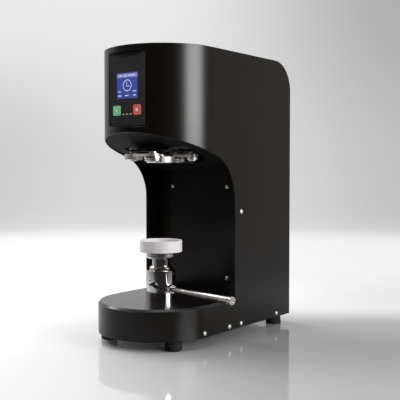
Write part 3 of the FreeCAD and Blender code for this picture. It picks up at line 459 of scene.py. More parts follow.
@dataclass(frozen=True)
class Circuit(Finish):
    """Green solder mask with copper runs under it."""
    runs: tuple[tuple[str, float], ...] = (("Scale", 240.0), ("Mortar Size", 0.03), ("Row Height", 0.35))
    run_height: float = 0.00002
    wear_scale: float = 300.0

    def dress(self, shader: Shader) -> None:
        """Runs from a brick pattern, raised a little.

        Args:
            shader: Material that gets the nodes.
        """
        runs = shader.add("TexBrick")
        for name, value in self.runs:
            runs.inputs[name].default_value = value
        shader.link(shader.place(), runs.inputs["Vector"])
        wear = shader.noise(self.wear_scale)
        shader.put(Base_Color=shader.blend(runs.outputs["Fac"], self.colour, self.tint(2.0)),
                   Roughness=self.worn(shader, wear, below=0.05, above=0.1),
                   Normal=shader.bump(runs.outputs["Fac"], self.run_height))


@dataclass(frozen=True)
class LitScreen(Finish):
    """Blue back-lit screen with a header band, a ring with clock hands and plain marks."""
    centre: Point2 = (0.0, 418.25)
    glow: float = 0.75
    glass: float = 0.4
    unlit: float = 0.75
    mark: Colour = (0.62, 0.68, 0.95)
    header: Bar = (0.0, 15.6, 44.0, 6.4)
    header_share: float = 0.3
    bars: tuple[Bar, ...] = (
        (-14.5, 15.6, 7.0, 2.2), (-4.0, 15.6, 8.0, 2.2), (9.5, 15.6, 15.0, 2.2),
        (-16.5, -9.5, 6.0, 1.6), (15.5, -9.5, 8.0, 1.8),
        (-16.0, -16.0, 7.0, 2.2), (-1.0, -16.0, 8.0, 1.8), (15.5, -16.0, 6.0, 2.0),
        (-1.4, 2.4, 1.3, 7.2), (1.8, -1.2, 6.4, 1.3))
    ring_radius: float = 8.6
    ring_width: float = 0.75
    drift_scale: float = 18.0
    dot_scale: float = 1500.0
    dot_share: float = 0.75

    def box_mask(self, shader: Shader, x: Any, z: Any, bar: Bar) -> bpy.types.NodeSocket:
        """One inside a bar and zero outside it.

        Args:
            shader: Material that gets the nodes.
            x: Distance from the screen's centre, in metres.
            z: Height above the screen's centre, in metres.
            bar: Centre, width and height of the bar in millimetres.

        Returns:
            The mask socket.
        """
        middle_x, middle_z, width, height = (size * MM for size in bar)
        across = shader.math("COMPARE", x, middle_x, width / 2)
        up = shader.math("COMPARE", z, middle_z, height / 2)
        return shader.math("MULTIPLY", across, up)

    def dress(self, shader: Shader) -> None:
        """Marks laid over a blue that drifts from corner to corner, behind glass.

        Args:
            shader: Material that gets the nodes.
        """
        across, _, up = shader.axes()
        x = shader.math("SUBTRACT", across, self.centre[0] * MM)
        z = shader.math("SUBTRACT", up, self.centre[1] * MM)
        reach = shader.hypotenuse(x, z)
        marks = shader.math("COMPARE", reach, self.ring_radius * MM, self.ring_width * MM)
        for bar in self.bars:
            marks = shader.math("MAXIMUM", marks, self.box_mask(shader, x, z, bar))
        band = shader.math("MULTIPLY", self.box_mask(shader, x, z, self.header), self.header_share)
        dots = shader.noise(self.dot_scale, detail=0.0, vector=shader.place((1.0, 0.0, 1.0)))
        lit = shader.math("MULTIPLY", marks, shader.spread(dots, self.dot_share, 1.0))
        base = shader.blend(shader.noise(self.drift_scale, detail=1.0), self.tint(0.85), self.tint(1.2))
        base = shader.blend(band, base, self.mark)
        base = shader.blend(lit, base, self.mark)
        shader.put(Base_Color=shader.blend(self.unlit, base, BLACK),
                   Roughness=self.roughness,
                   Emission_Color=base,
                   Emission_Strength=self.glow,
                   Coat_Weight=self.glass)


class Stock(Enum):
    """Finishes by the record's slot names: name, colour, roughness and, where it isn't their own, slot."""
    POWDER_COAT = PowderCoat("powder_coat", (0.0038, 0.0029, 0.0021), 0.28, peel=0.000005, resin=0.27)
    MATT_COAT = PowderCoat("matt_coat", (0.0060, 0.0055, 0.0052), 0.65, "powder_coat", resin=0.06)
    SATIN_BASE = PowderCoat("satin_base", (0.0060, 0.0052, 0.0048), 0.2, peel=0.000005, resin=0.43)
    FRAME_STEEL = GroundSteel("frame_steel", (0.35, 0.35, 0.36), 0.45)
    BLACKENED_STEEL = GroundSteel("blackened_steel", (0.045, 0.043, 0.042), 0.42)
    GROUND_STEEL = GroundSteel("ground_steel", (0.74, 0.70, 0.68), 0.48)
    SATIN_STEEL = GroundSteel("satin_steel", (0.80, 0.765, 0.745), 0.46, "stainless")
    STAINLESS = TurnedSteel("stainless", (0.60, 0.57, 0.555), 0.24)
    SCREW_STEEL = GroundSteel("screw_steel", (0.82, 0.81, 0.78), 0.38)
    CAST_GREY = Moulding("cast_grey", (0.11, 0.115, 0.12), 0.6, grain=0.0001, grain_scale=500.0)
    BRONZE = TurnedSteel("bronze", (0.55, 0.33, 0.14), 0.3)
    ALUMINIUM = TurnedSteel("aluminium", (0.78, 0.78, 0.79), 0.3)
    MOTOR_PAINT = PowderCoat("motor_paint", (0.03, 0.034, 0.04), 0.45)
    GALVANISED = Galvanised("galvanised", (0.55, 0.56, 0.57), 0.38)
    RUBBER = Rubber("rubber", (0.008, 0.008, 0.008), 0.75)
    BELT_RUBBER = Rubber("belt_rubber", (0.012, 0.012, 0.012), 0.6)
    WHITE_NYLON = Moulding("white_nylon", (0.66, 0.63, 0.64), 0.42, depth_of_light=0.25)
    PANEL_BLACK = Moulding("panel_black", (0.0185, 0.0178, 0.0172), 0.36, grain=0.000008)
    SCREEN_GLASS = LitScreen("screen_glass", (0.055, 0.075, 0.34), 0.12)
    CIRCUIT_GREEN = Circuit("circuit_green", (0.01, 0.09, 0.04), 0.35)
    START_GREEN = Moulding("start_green", (0.22, 0.70, 0.34), 0.3, grain=0.000003)
    STOP_RED = Moulding("stop_red", (0.93, 0.14, 0.12), 0.3, grain=0.000003)
    BLACK_PLASTIC = Moulding("black_plastic", (0.013, 0.013, 0.013), 0.38)
    PRINT_WHITE = Moulding("print_white", (0.80, 0.79, 0.78), 0.45, "white_nylon")
    CHROME = TurnedSteel("chrome", (0.56, 0.54, 0.53), 0.09, "stainless", smear=0.2, ring_depth=0.000002)


class Body(Enum):
    """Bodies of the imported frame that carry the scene's pieces."""
    ROOT = "root"
    LIFT = "lift"
    LEVER = "lever"
    ARM_1 = "arm_1"
    ARM_2 = "arm_2"
    ROLLER_1 = "roller_1"
    ROLLER_2 = "roller_2"
    START = "start_button"
    STOP = "stop_button"
    ROCKER = "switch_rocker"


# Meshes

@dataclass(frozen=True)
class Corner:
    """A corner of an outline with its rounding radius; zero marks a point on a smooth curve."""
    u: float
    v: float
    radius: float = 0.0


@dataclass
class Draft:
    """Vertices with normals, and faces, in millimetres."""
    points: list[Vector] = field(default_factory=list)
    normals: list[Vector] = field(default_factory=list)
    faces: list[tuple[int, ...]] = field(default_factory=list)

    def add(self, other: "Draft", matrix: Matrix | None = None) -> "Draft":
        """Append another draft, moved by a matrix.

        Args:
            other: Draft to append.
            matrix: Placement of the copy.

        Returns:
            This draft.
        """
        matrix = matrix or Matrix.Identity(4)
        turn = matrix.to_3x3()
        start = len(self.points)
        self.points += [matrix @ p for p in other.points]
        self.normals += [turn @ n for n in other.normals]
        self.faces += [tuple(start + i for i in f) for f in other.faces]
        return self

    def piece(self, name: str, stock: Stock, body: Body = Body.ROOT,
              replaces: Iterable[str] = ()) -> bpy.types.Object:
        """Make the object, give it its finish and let it ride on a body.

        Args:
            name: Name of the piece.
            stock: Its finish.
            body: Body that carries it.
            replaces: CAD nodes that it stands for.

        Returns:
            The new object.
        """
        mesh = bpy.data.meshes.new(name)
        mesh.from_pydata([p * MM for p in self.points], [], self.faces)
        mesh.validate()
        mesh.polygons.foreach_set("use_smooth", [True] * len(mesh.polygons))
        if len(mesh.vertices) == len(self.normals):
            mesh.normals_split_custom_set_from_vertices([n.normalized() for n in self.normals])
        mesh.materials.append(stock.value.build())
        piece = bpy.data.objects.new(name, mesh)
        bpy.context.scene.collection.objects.link(piece)
        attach(piece, body.value)
        if replaces:
            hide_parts(*replaces)
        LOG.info("%s: %d faces on %s", name, len(mesh.polygons), body.value)
        return piece


def oriented(draft: Draft) -> Draft:
    """Turn every face so that it agrees with the normals of its points.

    Args:
        draft: Draft whose faces are turned in place.

    Returns:
        The same draft.
    """
    for index, face in enumerate(draft.faces):
        a, b, c = (draft.points[i] for i in face[:3])
        normal = (b - a).cross(c - a)
        wanted = sum((draft.normals[i] for i in face), Vector((0, 0, 0)))
        if normal.dot(wanted) < 0:
            draft.faces[index] = face[::-1]
    return draft


def rounded(corners: Sequence[Corner], step: float) -> list[tuple[Vector, Vector]]:
    """Round the corners of a closed outline that runs anticlockwise.

    Args:
        corners: Corners in order.
        step: Largest angle in degrees between points of a rounding.

    Returns:
        Points with outward normals, both 2-D.
    """
    result = []
    count = len(corners)
    places = [Vector((c.u, c.v)) for c in corners]
    for index, corner in enumerate(corners):
        here = places[index]
        to_last = places[index - 1] - here
        to_next = places[(index + 1) % count] - here
        first, second = to_last.normalized(), to_next.normalized()
        turn = math.pi - math.acos(max(-1.0, min(1.0, first.dot(second))))
        left = -first.x * second.y + first.y * second.x
        sign = 1.0 if left > 0 else -1.0
        normals = [Vector((-first.y, first.x)), Vector((second.y, -second.x))]
        reach = min(corner.radius * math.tan(turn / 2),
                    LARGEST_SHARE * to_last.length, LARGEST_SHARE * to_next.length)
        if reach < NO_ROUNDING or turn < NO_TURN:
            result.append((here, (normals[0] + normals[1]).normalized()))
            continue
        radius = reach / math.tan(turn / 2)
        centre = here + first * reach - normals[0] * radius * sign
        steps = max(2, math.ceil(math.degrees(turn) / step))
        for k in range(steps + 1):
            angle = turn * k / steps * sign
            normal = Vector((normals[0].x * math.cos(angle) - normals[0].y * math.sin(angle),
                             normals[0].x * math.sin(angle) + normals[0].y * math.cos(angle)))
            result.append((centre + normal * radius * sign, normal))
    return result


def lathe(profile: Sequence[Point2], fillet: float = 0.3, segments: int = SEGMENTS) -> Draft:
    """Turn a closed profile about the upright axis.

    Args:
        profile: (radius, height) points, anticlockwise with the radius to the right.
        fillet: Rounding of every corner that is off the axis.
        segments: Number of sides.

    Returns:
        The turned draft.
    """
    ring = rounded([Corner(r, z, 0.0 if r < NO_LENGTH else fillet) for r, z in profile], LATHE_STEP)
    draft = Draft()
    rows: list[list[int]] = []
    for point, normal in ring:
        if point.x < NO_LENGTH:
            rows.append([len(draft.points)])
            draft.points.append(Vector((0, 0, point.y)))
            draft.normals.append(UPRIGHT if normal.y > 0 else -UPRIGHT)
            continue
        rows.append(list(range(len(draft.points), len(draft.points) + segments)))
        for k in range(segments):
            a = 2 * math.pi * k / segments
            draft.points.append(Vector((point.x * math.cos(a), point.x * math.sin(a), point.y)))
            draft.normals.append(Vector((normal.x * math.cos(a), normal.x * math.sin(a), normal.y)))
    for low, high in zip(rows, rows[1:] + rows[:1]):
        if len(low) == 1 and len(high) == 1:
            continue
        for k in range(segments):
            n = (k + 1) % segments
            if len(low) == 1:
                draft.faces.append((low[0], high[n], high[k]))
            elif len(high) == 1:
                draft.faces.append((low[k], low[n], high[0]))
            else:
                draft.faces.append((low[k], low[n], high[n], high[k]))
    return oriented(draft)


class Bend(ABC):
    """How a flat sheet is bent: from (along, across, depth below the outer face) to space."""
    lines: Sequence[float] = ()

    @abstractmethod
    def frame(self, along: float) -> tuple[Vector, Vector, Vector]:
        """Point on the outer face's path, its tangent and its outward normal."""

    @property
    def across(self) -> Vector:
        """Direction of the sheet's second axis."""
        return UPRIGHT


@dataclass
class NoseBend(Bend):
    """Round a half-circle nose at the front and straight back along both sides; zero is the nose."""
    radius: float
    nose_y: float
    divisions: int = 128

    @property
    def quarter(self) -> float:
        """Length from the nose to the start of a flat side."""
        return self.radius * math.pi / 2

    @property
    def lines(self) -> list[float]:
        """Places where the sheet gets a row of points."""
        return [self.quarter * (2 * k / self.divisions - 1) for k in range(self.divisions + 1)]

    def frame(self, along: float) -> tuple[Vector, Vector, Vector]:
        """Place on the bent sheet.

        Args:
            along: Length from the nose, positive to the right.

        Returns:
            Point, tangent and outward normal.
        """
        angle = max(-math.pi / 2, min(math.pi / 2, along / self.radius))
        normal = Vector((math.sin(angle), -math.cos(angle), 0))
        tangent = Vector((math.cos(angle), math.sin(angle), 0))
        point = Vector((0, self.nose_y, 0)) + normal * self.radius
        return point + tangent * (along - angle * self.radius), tangent, normal

    def along_at_x(self, x: float) -> float:
        """Length along the nose at a sideways place."""
        return self.radius * math.asin(x / self.radius)

    def along_at_y(self, y: float) -> float:
        """Length along the right-hand side at a depth.

        Args:
            y: Depth of the place.

        Returns:
            The length from the nose.
        """
        if y >= self.nose_y:
            return self.quarter + y - self.nose_y
        return self.radius * math.acos((self.nose_y - y) / self.radius)


@dataclass
class RoundBend(Bend):
    """Right round an upright axis, anticlockwise seen from above; the seam is at the start angle."""
    radius: float
    start: float
    divisions: int = 128

    @property
    def girth(self) -> float:
        """Length once round."""
        return 2 * math.pi * self.radius

    @property
    def lines(self) -> list[float]:
        """Places where the sheet gets a row of points."""
        return [self.girth * k / self.divisions for k in range(self.divisions + 1)]

    def frame(self, along: float) -> tuple[Vector, Vector, Vector]:
        """Place on the bent sheet.

        Args:
            along: Length from the seam.

        Returns:
            Point, tangent and outward normal.
        """
        angle = math.radians(self.start) + along / self.radius
        normal = Vector((math.cos(angle), math.sin(angle), 0))
        return normal * self.radius, Vector((-math.sin(angle), math.cos(angle), 0)), normal


@dataclass
class FlatBend(Bend):
    """No bend: a flat plate in its own plane."""
    origin: Vector
    tangent: Vector
    side: Vector

    def frame(self, along: float) -> tuple[Vector, Vector, Vector]:
        """Point, tangent and outward normal."""
        return self.origin + self.tangent * along, self.tangent, self.tangent.cross(self.side)

    @property
    def across(self) -> Vector:
        """Direction of the sheet's second axis."""
        return self.side


def edge_section(wall: float, edge: float) -> list[tuple[float, float, float, float]]:
    """Section through the rounded edge of a sheet, from the inner to the outer face.

    Args:
        wall: Thickness of the sheet.
        edge: Rounding of the edge.

    Returns:
        Inset, depth below the outer face, and outward and upward part of the normal of each point.
    """
    inner = []
    for k in range(EDGE_STEPS, -1, -1):
        a = math.pi / 2 * k / EDGE_STEPS
        inset, depth = edge * (1 - math.cos(a)), wall - edge * (1 - math.sin(a))
        inner.append((inset, depth, math.cos(a), -math.sin(a)))
    return inner + [(inset, wall - depth, out, -up) for inset, depth, out, up in reversed(inner)]


def sheet(bend: Bend, outline: Sequence[Corner], holes: Sequence[Sequence[Corner]], wall: float,
          edge: float, closed_length: float = 0.0) -> Draft:
    """Bend a sheet with rounded edges from its flat pattern.

    Args:
        bend: How the sheet is bent.
        outline: Outer outline, anticlockwise, as (along, across) corners.
        holes: Outlines of the holes, anticlockwise.
        wall: Thickness.
        edge: Rounding of the edges.
        closed_length: Length once round, for a sheet that closes on itself; the outline then
            passes both ends and is trimmed there.

    Returns:
        The bent draft.
    """
    flat = bmesh.new()
    layer = flat.verts.layers.float_vector.new("flat_normal")
    section = edge_section(wall, edge)
    face_edges: dict[int, list[bmesh.types.BMEdge]] = {0: [], len(section) - 1: []}
    for loop_index, loop in enumerate([outline, *holes]):
        sign = -1.0 if loop_index > 0 else 1.0
        path = rounded(loop, SHEET_STEP)
        previous = None
        for section_index, (inset, depth, out, up) in enumerate(section):
            row = []
            for point, normal in path:
                spot = point - normal * inset * sign
                vert = flat.verts.new((spot.x, spot.y, -depth))
                vert[layer] = Vector((normal.x * out * sign, normal.y * out * sign, up))
                row.append(vert)
            if section_index in face_edges:
                face_edges[section_index] += [flat.edges.new(pair) for pair in zip(row, row[1:] + row[:1])]
            if previous:
                for k, vert in enumerate(row):
                    n = (k + 1) % len(row)
                    quad = (previous[k], previous[n], row[n], vert)
                    flat.faces.new(quad if sign > 0 else quad[::-1])
            previous = row
    for edges in face_edges.values():
        bmesh.ops.triangle_fill(flat, edges=edges, use_beauty=True)
    for along in bend.lines:
        bmesh.ops.bisect_plane(flat, geom=[*flat.verts, *flat.edges, *flat.faces], dist=CUT_TOLERANCE,
                               plane_co=(along, 0, 0), plane_no=(1, 0, 0))
    if closed_length:
        for along, normal in ((0.0, (-1, 0, 0)), (closed_length, (1, 0, 0))):
            bmesh.ops.bisect_plane(flat, geom=[*flat.verts, *flat.edges, *flat.faces], dist=CUT_TOLERANCE,
                                   plane_co=(along, 0, 0), plane_no=normal, clear_outer=True)
    flat.verts.index_update()
    draft = Draft()
    for vert in flat.verts:
        point, tangent, outward = bend.frame(vert.co.x)
        normal = vert[layer]
        draft.points.append(point + bend.across * vert.co.y + outward * vert.co.z)
        draft.normals.append(tangent * normal.x + bend.across * normal.y + outward * normal.z)
    draft.faces = [tuple(v.index for v in f.verts) for f in flat.faces]
    flat.free()
    return oriented(draft)


def rectangle(u: float, v: float, width: float, height: float, radius: float) -> list[Corner]:
    """Rectangle with rounded corners about a centre."""
    return [Corner(u + a * width / 2, v + b * height / 2, radius)
            for a, b in ((-1, -1), (1, -1), (1, 1), (-1, 1))]


def arc(centre: Point2, radius: float, start: float, end: float, count: int = 24) -> list[Corner]:
    """Points on an arc, angles in degrees."""
    angles = (math.radians(start + (end - start) * k / count) for k in range(count + 1))
    return [Corner(centre[0] + radius * math.cos(a), centre[1] + radius * math.sin(a)) for a in angles]


def stadium(start: Point2, end: Point2, half: float) -> list[Corner]:
    """Slot with round ends between two centres."""
    side = math.degrees(math.atan2(end[1] - start[1], end[0] - start[0])) + 90
    return arc(end, half, side - 180, side, 16) + arc(start, half, side, side + 180, 16)


def mirrored(corners: Sequence[Corner]) -> list[Corner]:
    """The same corners on the left-hand side."""
    return [Corner(-c.u, c.v, c.radius) for c in corners]


def along_line(point: Vector, direction: Vector) -> Matrix:
    """Placement that carries the upright axis to a direction through a point."""
    turn = direction.to_track_quat("Z", "Y").to_matrix().to_4x4()
    return Matrix.Translation(point) @ turn


# Sub-assemblies

class Assembly(ABC):
    """A group of pieces that are built together."""

    @abstractmethod
    def build(self) -> list[bpy.types.Object]:
        """Make the pieces and return them."""


@dataclass
class CarriedNodes(Assembly):
    """CAD nodes that keep their shape: each gets its finish, and the visible ones softened edges."""
    nodes: dict[str, bpy.types.Object]
    softened: dict[str, float]
    special: dict[str, Stock]
    sharp_angle: float = 38.0
    segments: int = 2
    weld_distance: float = 0.01

    def soften(self, piece: bpy.types.Object, width: float) -> None:
        """Round the sharp edges of a node with modifiers.

        Args:
            piece: The node's object.
            width: Width of the rounding in millimetres.
        """
        weld = piece.modifiers.new("weld", "WELD")
        weld.merge_threshold = self.weld_distance * MM
        bevel = piece.modifiers.new("edge", "BEVEL")
        bevel.width = width * MM
        bevel.segments = self.segments
        bevel.limit_method = "ANGLE"
        bevel.angle_limit = math.radians(self.sharp_angle)
        bevel.harden_normals = True

    def build(self) -> list[bpy.types.Object]:
        """Dress every node of the frame.

        Returns:
            The dressed nodes.
        """
        by_slot = {stock.value.name: stock for stock in Stock}
        dressed = []
        for name, piece in sorted(self.nodes.items()):
            slot_name = piece.material_slots[0].material.name.split(".")[0]
            stock = self.special.get(name) or by_slot[slot_name]
            for material_slot in piece.material_slots:
                material_slot.material = stock.value.build()
            if name in self.softened:
                self.soften(piece, self.softened[name])
            dressed.append(piece)
            LOG.info("%s: carried over in %s", name, stock.value.name)
        return dressed


@dataclass
class Housing(Assembly):
    """Bent outer sheet of the head and column."""
    half_width: float = 100.0
    nose_y: float = 9.5
    back_y: float = 252.6
    front_y: float = 74.5
    foot: float = 16.0
    height: float = 481.0
    wall: float = 2.0
    edge: float = 0.85
    corner_radius: float = 0.8
    lip_height: float = 314.2
    lip_slope: float = 0.32
    lip_radius: float = 75.0
    rear_radius: float = 52.0
    window_middle: float = 412.0
    window_size: Point2 = (81.2, 120.2)
    window_radius: float = 6.1
    window_steps: int = 8
    round_steps: int = 30
    nose_steps: int = 64

    def lip(self, bend: NoseBend) -> list[Corner]:
        """Right half of the head's lower edge, from the front of the side up to the nose.

        Args:
            bend: Bend of the sheet.

        Returns:
            Points of the flat pattern.
        """
        stretch = math.hypot(1.0, self.lip_slope)
        centre_y = self.front_y - self.lip_radius
        centre_z = self.lip_height - self.lip_slope * centre_y - self.lip_radius * stretch
        swing = math.degrees(math.atan2(1.0, self.lip_slope))
        side = [Corner(bend.along_at_y(c.u), c.v)
                for c in arc((centre_y, centre_z), self.lip_radius, 0.0, swing, self.round_steps)]
        nose = []
        for k in range(self.nose_steps + 1):
            along = bend.quarter * (1 - k / self.nose_steps)
            y = self.nose_y - self.half_width * math.cos(along / self.half_width)
            nose.append(Corner(along, self.lip_height - self.lip_slope * y))
        return side + nose

    def window(self, bend: NoseBend) -> list[Corner]:
        """Opening for the control panel.

        Args:
            bend: Bend of the sheet.

        Returns:
            Points of the flat pattern.
        """
        width, height = self.window_size
        points: list[Corner] = []
        for a, b, start in ((1, 1, 0), (-1, 1, 90), (-1, -1, 180), (1, -1, 270)):
            centre = (a * (width / 2 - self.window_radius),
                      self.window_middle + b * (height / 2 - self.window_radius))
            points += arc(centre, self.window_radius, start, start + 90, self.window_steps)
        return [Corner(bend.along_at_x(c.u), c.v) for c in points]

    def build(self) -> list[bpy.types.Object]:
        """Bend the sheet.

        Returns:
            The sheet.
        """
        bend = NoseBend(self.half_width, self.nose_y)
        rear = bend.along_at_y(self.back_y)
        front = bend.along_at_y(self.front_y)
        lip = self.lip(bend)
        foot = [Corner(front, self.foot, self.corner_radius), Corner(rear, self.foot, self.corner_radius)]
        crown_centre = (rear - self.rear_radius, self.height - self.rear_radius)
        crown = arc(crown_centre, self.rear_radius, 0, 90, self.round_steps)
        outline = foot + crown + mirrored(crown[::-1]) + mirrored(foot[::-1]) + mirrored(lip) + lip[-2::-1]
        draft = sheet(bend, outline, [self.window(bend)], self.wall, self.edge)
        return [draft.piece("housing_sheet", Stock.POWDER_COAT, Body.ROOT, ["housing_skin"])]


@dataclass
class Base(Assembly):
    """Front skin of the base."""
    half_width: float = 100.0
    nose_y: float = -7.4
    rear_y: float = 74.3
    foot: float = 16.0
    top: float = 62.4
    wall: float = 2.0
    edge: float = 0.45
    corner_radius: float = 0.6

    def build(self) -> list[bpy.types.Object]:
        """Bend the skin round the front.

        Returns:
            The skin.
        """
        bend = NoseBend(self.half_width, self.nose_y)
        half = bend.along_at_y(self.rear_y)
        middle = (self.foot + self.top) / 2
        outline = rectangle(0, middle, 2 * half, self.top - self.foot, self.corner_radius)
        draft = sheet(bend, outline, [], self.wall, self.edge)
        return [draft.piece("base_sheet", Stock.POWDER_COAT, Body.ROOT, ["base_skin"])]


@dataclass
class Screws(Assembly):
    """Pan-head screws with cross recesses in the housing."""
    head_radius: float = 3.8
    head_height: float = 2.0
    dome_reach: float = 1.02
    dome_power: float = 3.2
    cross_half: float = 0.5
    cross_reach: float = 2.3
    cross_depth: float = 1.1
    cross_flank: float = 0.25
    cross_end: float = 0.9
    slope_step: float = 0.05
    rows: int = 22
    spokes: int = 72
    side_x: float = 100.0
    throat_y: float = 105.6
    back_y: float = 252.6
    side_turn: float = 0.37
    throat_turn: float = 0.5
    back_turn: float = 0.7
    sides: tuple[Point2, ...] = ((92.9, 22.8), (206.0, 22.8), (-10.0, 22.8), (58.1, 22.8), (92.5, 213.7))
    throat: tuple[Point2, ...] = ((61.3, 94.4), (61.3, 255.408))
    back: tuple[Point2, ...] = ((86.0, 40.0), (86.0, 215.0), (86.0, 400.0))

    def head_level(self, x: float, y: float) -> float:
        """Height of a head's surface at a point.

        Args:
            x: Distance from the head's centre.
            y: Distance across that one.

        Returns:
            The height above the sheet.
        """
        share = math.hypot(x, y) / (self.head_radius * self.dome_reach)
        dome = self.head_height * math.sqrt(max(0.0, 1 - share ** self.dome_power))
        drop = 0.0
        for along, across in ((abs(x), abs(y)), (abs(y), abs(x))):
            side = min(1.0, max(0.0, (self.cross_half - across) / self.cross_flank))
            end = min(1.0, max(0.0, (self.cross_reach - along) / self.cross_end))
            drop = max(drop, side * end)
        return dome - self.cross_depth * drop

    def head(self) -> Draft:
        """One head as a grid whose height drops in the cross.

        Returns:
            The head, on the upright axis.
        """
        draft = Draft()
        step = self.slope_step
        for row in range(self.rows + 1):
            radius = self.head_radius * row / self.rows
            for spoke in range(self.spokes):
                a = 2 * math.pi * spoke / self.spokes
                x, y = radius * math.cos(a), radius * math.sin(a)
                tilt = Vector((self.head_level(x - step, y) - self.head_level(x + step, y),
                               self.head_level(x, y - step) - self.head_level(x, y + step), 2 * step))
                inside = row < self.rows
                draft.points.append(Vector((x, y, self.head_level(x, y) if inside else 0.0)))
                draft.normals.append((tilt if inside else Vector((x, y, 0))).normalized())
        for row in range(self.rows):
            low, high = row * self.spokes, (row + 1) * self.spokes
            for spoke in range(self.spokes):
                n = (spoke + 1) % self.spokes
                draft.faces.append((low + spoke, high + spoke, high + n, low + n))
        return draft

    def stamp(self, places: Sequence[tuple[Vector, Vector, float]]) -> Draft:
        """Copies of the head.

        Args:
            places: Point, outward direction and turn of each head.

        Returns:
            All of them as one draft.
        """
        head = self.head()
        all_heads = Draft()
        for point, direction, turn in places:
            all_heads.add(head, along_line(point, direction) @ Matrix.Rotation(turn, 4, "Z"))
        return all_heads

    def build(self) -> list[bpy.types.Object]:
        """Stamp the heads on the sides, the throat and the back.

        Returns:
            The heads of the sides, and those of the throat and back.
        """
        sides = [(Vector((s * self.side_x, y, z)), Vector((s, 0, 0)), self.side_turn * i + s)
                 for s in (1, -1) for i, (y, z) in enumerate(self.sides)]
        panels = [(Vector((s * x, self.throat_y, z)), Vector((0, -1, 0)), self.throat_turn * i + s)
                  for s in (1, -1) for i, (x, z) in enumerate(self.throat)]
        panels += [(Vector((s * x, self.back_y, z)), Vector((0, 1, 0)), self.back_turn * i + s)
                   for s in (1, -1) for i, (x, z) in enumerate(self.back)]
        return [self.stamp(places).piece(name, Stock.SCREW_STEEL, Body.ROOT, [node])
                for name, node, places in (("side_screw_heads", "housing_screws", sides),
                                           ("panel_screw_heads", "panel_screws", panels))]


@dataclass
class Lift(Assembly):
    """Helical lift: slotted sleeve, gland, shaft, flange, cup and lever.

    Each profile is (radius, height) on the piece's own axis. A slot has the angle and height of its
    lower end and half its width.
    """
    sleeve_radius: float = 24.35
    sleeve_bore: float = 16.3
    sleeve_low: float = 67.4
    sleeve_top: float = 116.5
    sleeve_edge: float = 0.5
    travel: float = 10.0
    sweep: float = 90.0
    seam: float = 60.0
    seam_overlap: float = 6.0
    lever_angle: float = -11.1
    lever_height: float = 86.2
    slots: tuple[Point3, ...] = ((-11.1, 86.2, 4.5), (-120.0, 101.3, 2.9))
    gland: tuple[Point2, ...] = (
        (14.85, 116.5), (19.3, 116.5), (19.3, 121.0), (16.7, 123.6), (14.85, 123.6))
    shaft: tuple[Point2, ...] = ((0, 34), (14.8, 34), (14.8, 136.2), (8, 136.2), (8, 145.2), (0, 145.2))
    flange: tuple[Point2, ...] = (
        (8.05, 139.4), (14.6, 139.4), (14.6, 136.5), (22.0, 136.5), (24.1, 137.4), (25.0, 139.4),
        (25.0, 147.2), (8.05, 147.2))
    cup: tuple[Point2, ...] = (
        (0, 149.2), (8, 149.2), (8, 147.2), (35.35, 147.2), (35.35, 166.5), (33.25, 166.5),
        (33.25, 154.0), (27.25, 154.0), (26.25, 153.0), (0, 153.0))
    rod: tuple[Point2, ...] = (
        (0, 4), (4, 4), (4, 36), (6.2, 166.5), (5.3, 166.5), (5.3, 167.7), (0, 167.7))
    cap: tuple[Point2, ...] = (
        (0, 167.7), (6.4, 167.7), (6.4, 173.5), (4.3, 173.5), (3.7, 172.9), (0, 172.9))

    def sleeve(self) -> Draft:
        """Sleeve bent from its flat pattern, with the two helical slots.

        Returns:
            The sleeve.
        """
        bend = RoundBend(self.sleeve_radius, self.seam)
        left, right = -self.seam_overlap, bend.girth + self.seam_overlap
        outline = [Corner(left, self.sleeve_low), Corner(right, self.sleeve_low),
                   Corner(right, self.sleeve_top), Corner(left, self.sleeve_top)]
        shift = math.radians(self.sweep) * self.sleeve_radius
        holes = []
        for angle, height, half in self.slots:
            start = math.radians((angle - self.seam) % 360) * self.sleeve_radius
            holes.append(stadium((start - shift, height + self.travel), (start, height), half))
        wall = self.sleeve_radius - self.sleeve_bore
        return sheet(bend, outline, holes, wall, self.sleeve_edge, bend.girth)

    def on_lever(self, draft: Draft) -> Draft:
        """Lay a piece that was turned upright along the lever's line.

        Args:
            draft: The upright piece.

        Returns:
            The piece in its place.
        """
        angle = math.radians(self.lever_angle)
        heading = Vector((math.cos(angle), math.sin(angle), 0))
        return Draft().add(draft, along_line(UPRIGHT * self.lever_height, heading))

    def build(self) -> list[bpy.types.Object]:
        """Make the pieces on their bodies.

        Returns:
            Sleeve, gland, shaft, flange, cup, lever and lever end.
        """
        gland = lathe(self.gland, fillet=0.35)
        shaft = lathe(self.shaft, fillet=0.7)
        flange = lathe(self.flange, fillet=0.45, segments=WIDE_SEGMENTS)
        cup = lathe(self.cup, fillet=1.0, segments=WIDE_SEGMENTS)
        rod = self.on_lever(lathe(self.rod, fillet=0.35, segments=SLENDER_SEGMENTS))
        cap = self.on_lever(lathe(self.cap, fillet=0.45, segments=SLENDER_SEGMENTS))
        return [
            self.sleeve().piece("slotted_sleeve", Stock.CHROME, Body.ROOT, ["cam_sleeve"]),
            gland.piece("gland_collar", Stock.CHROME, Body.ROOT, ["gland_ring"]),
            shaft.piece("rising_shaft", Stock.CHROME, Body.LEVER, ["lift_shaft"]),
            flange.piece("carrying_flange", Stock.STAINLESS, Body.LIFT, ["cup_flange"]),
            cup.piece("nylon_cup", Stock.WHITE_NYLON, Body.LIFT, ["can_cup"]),
            rod.piece("lever_bar", Stock.STAINLESS, Body.LEVER, ["lever_rod"]),
            cap.piece("lever_end", Stock.STAINLESS, Body.LEVER, ["lever_cap"]),
        ]


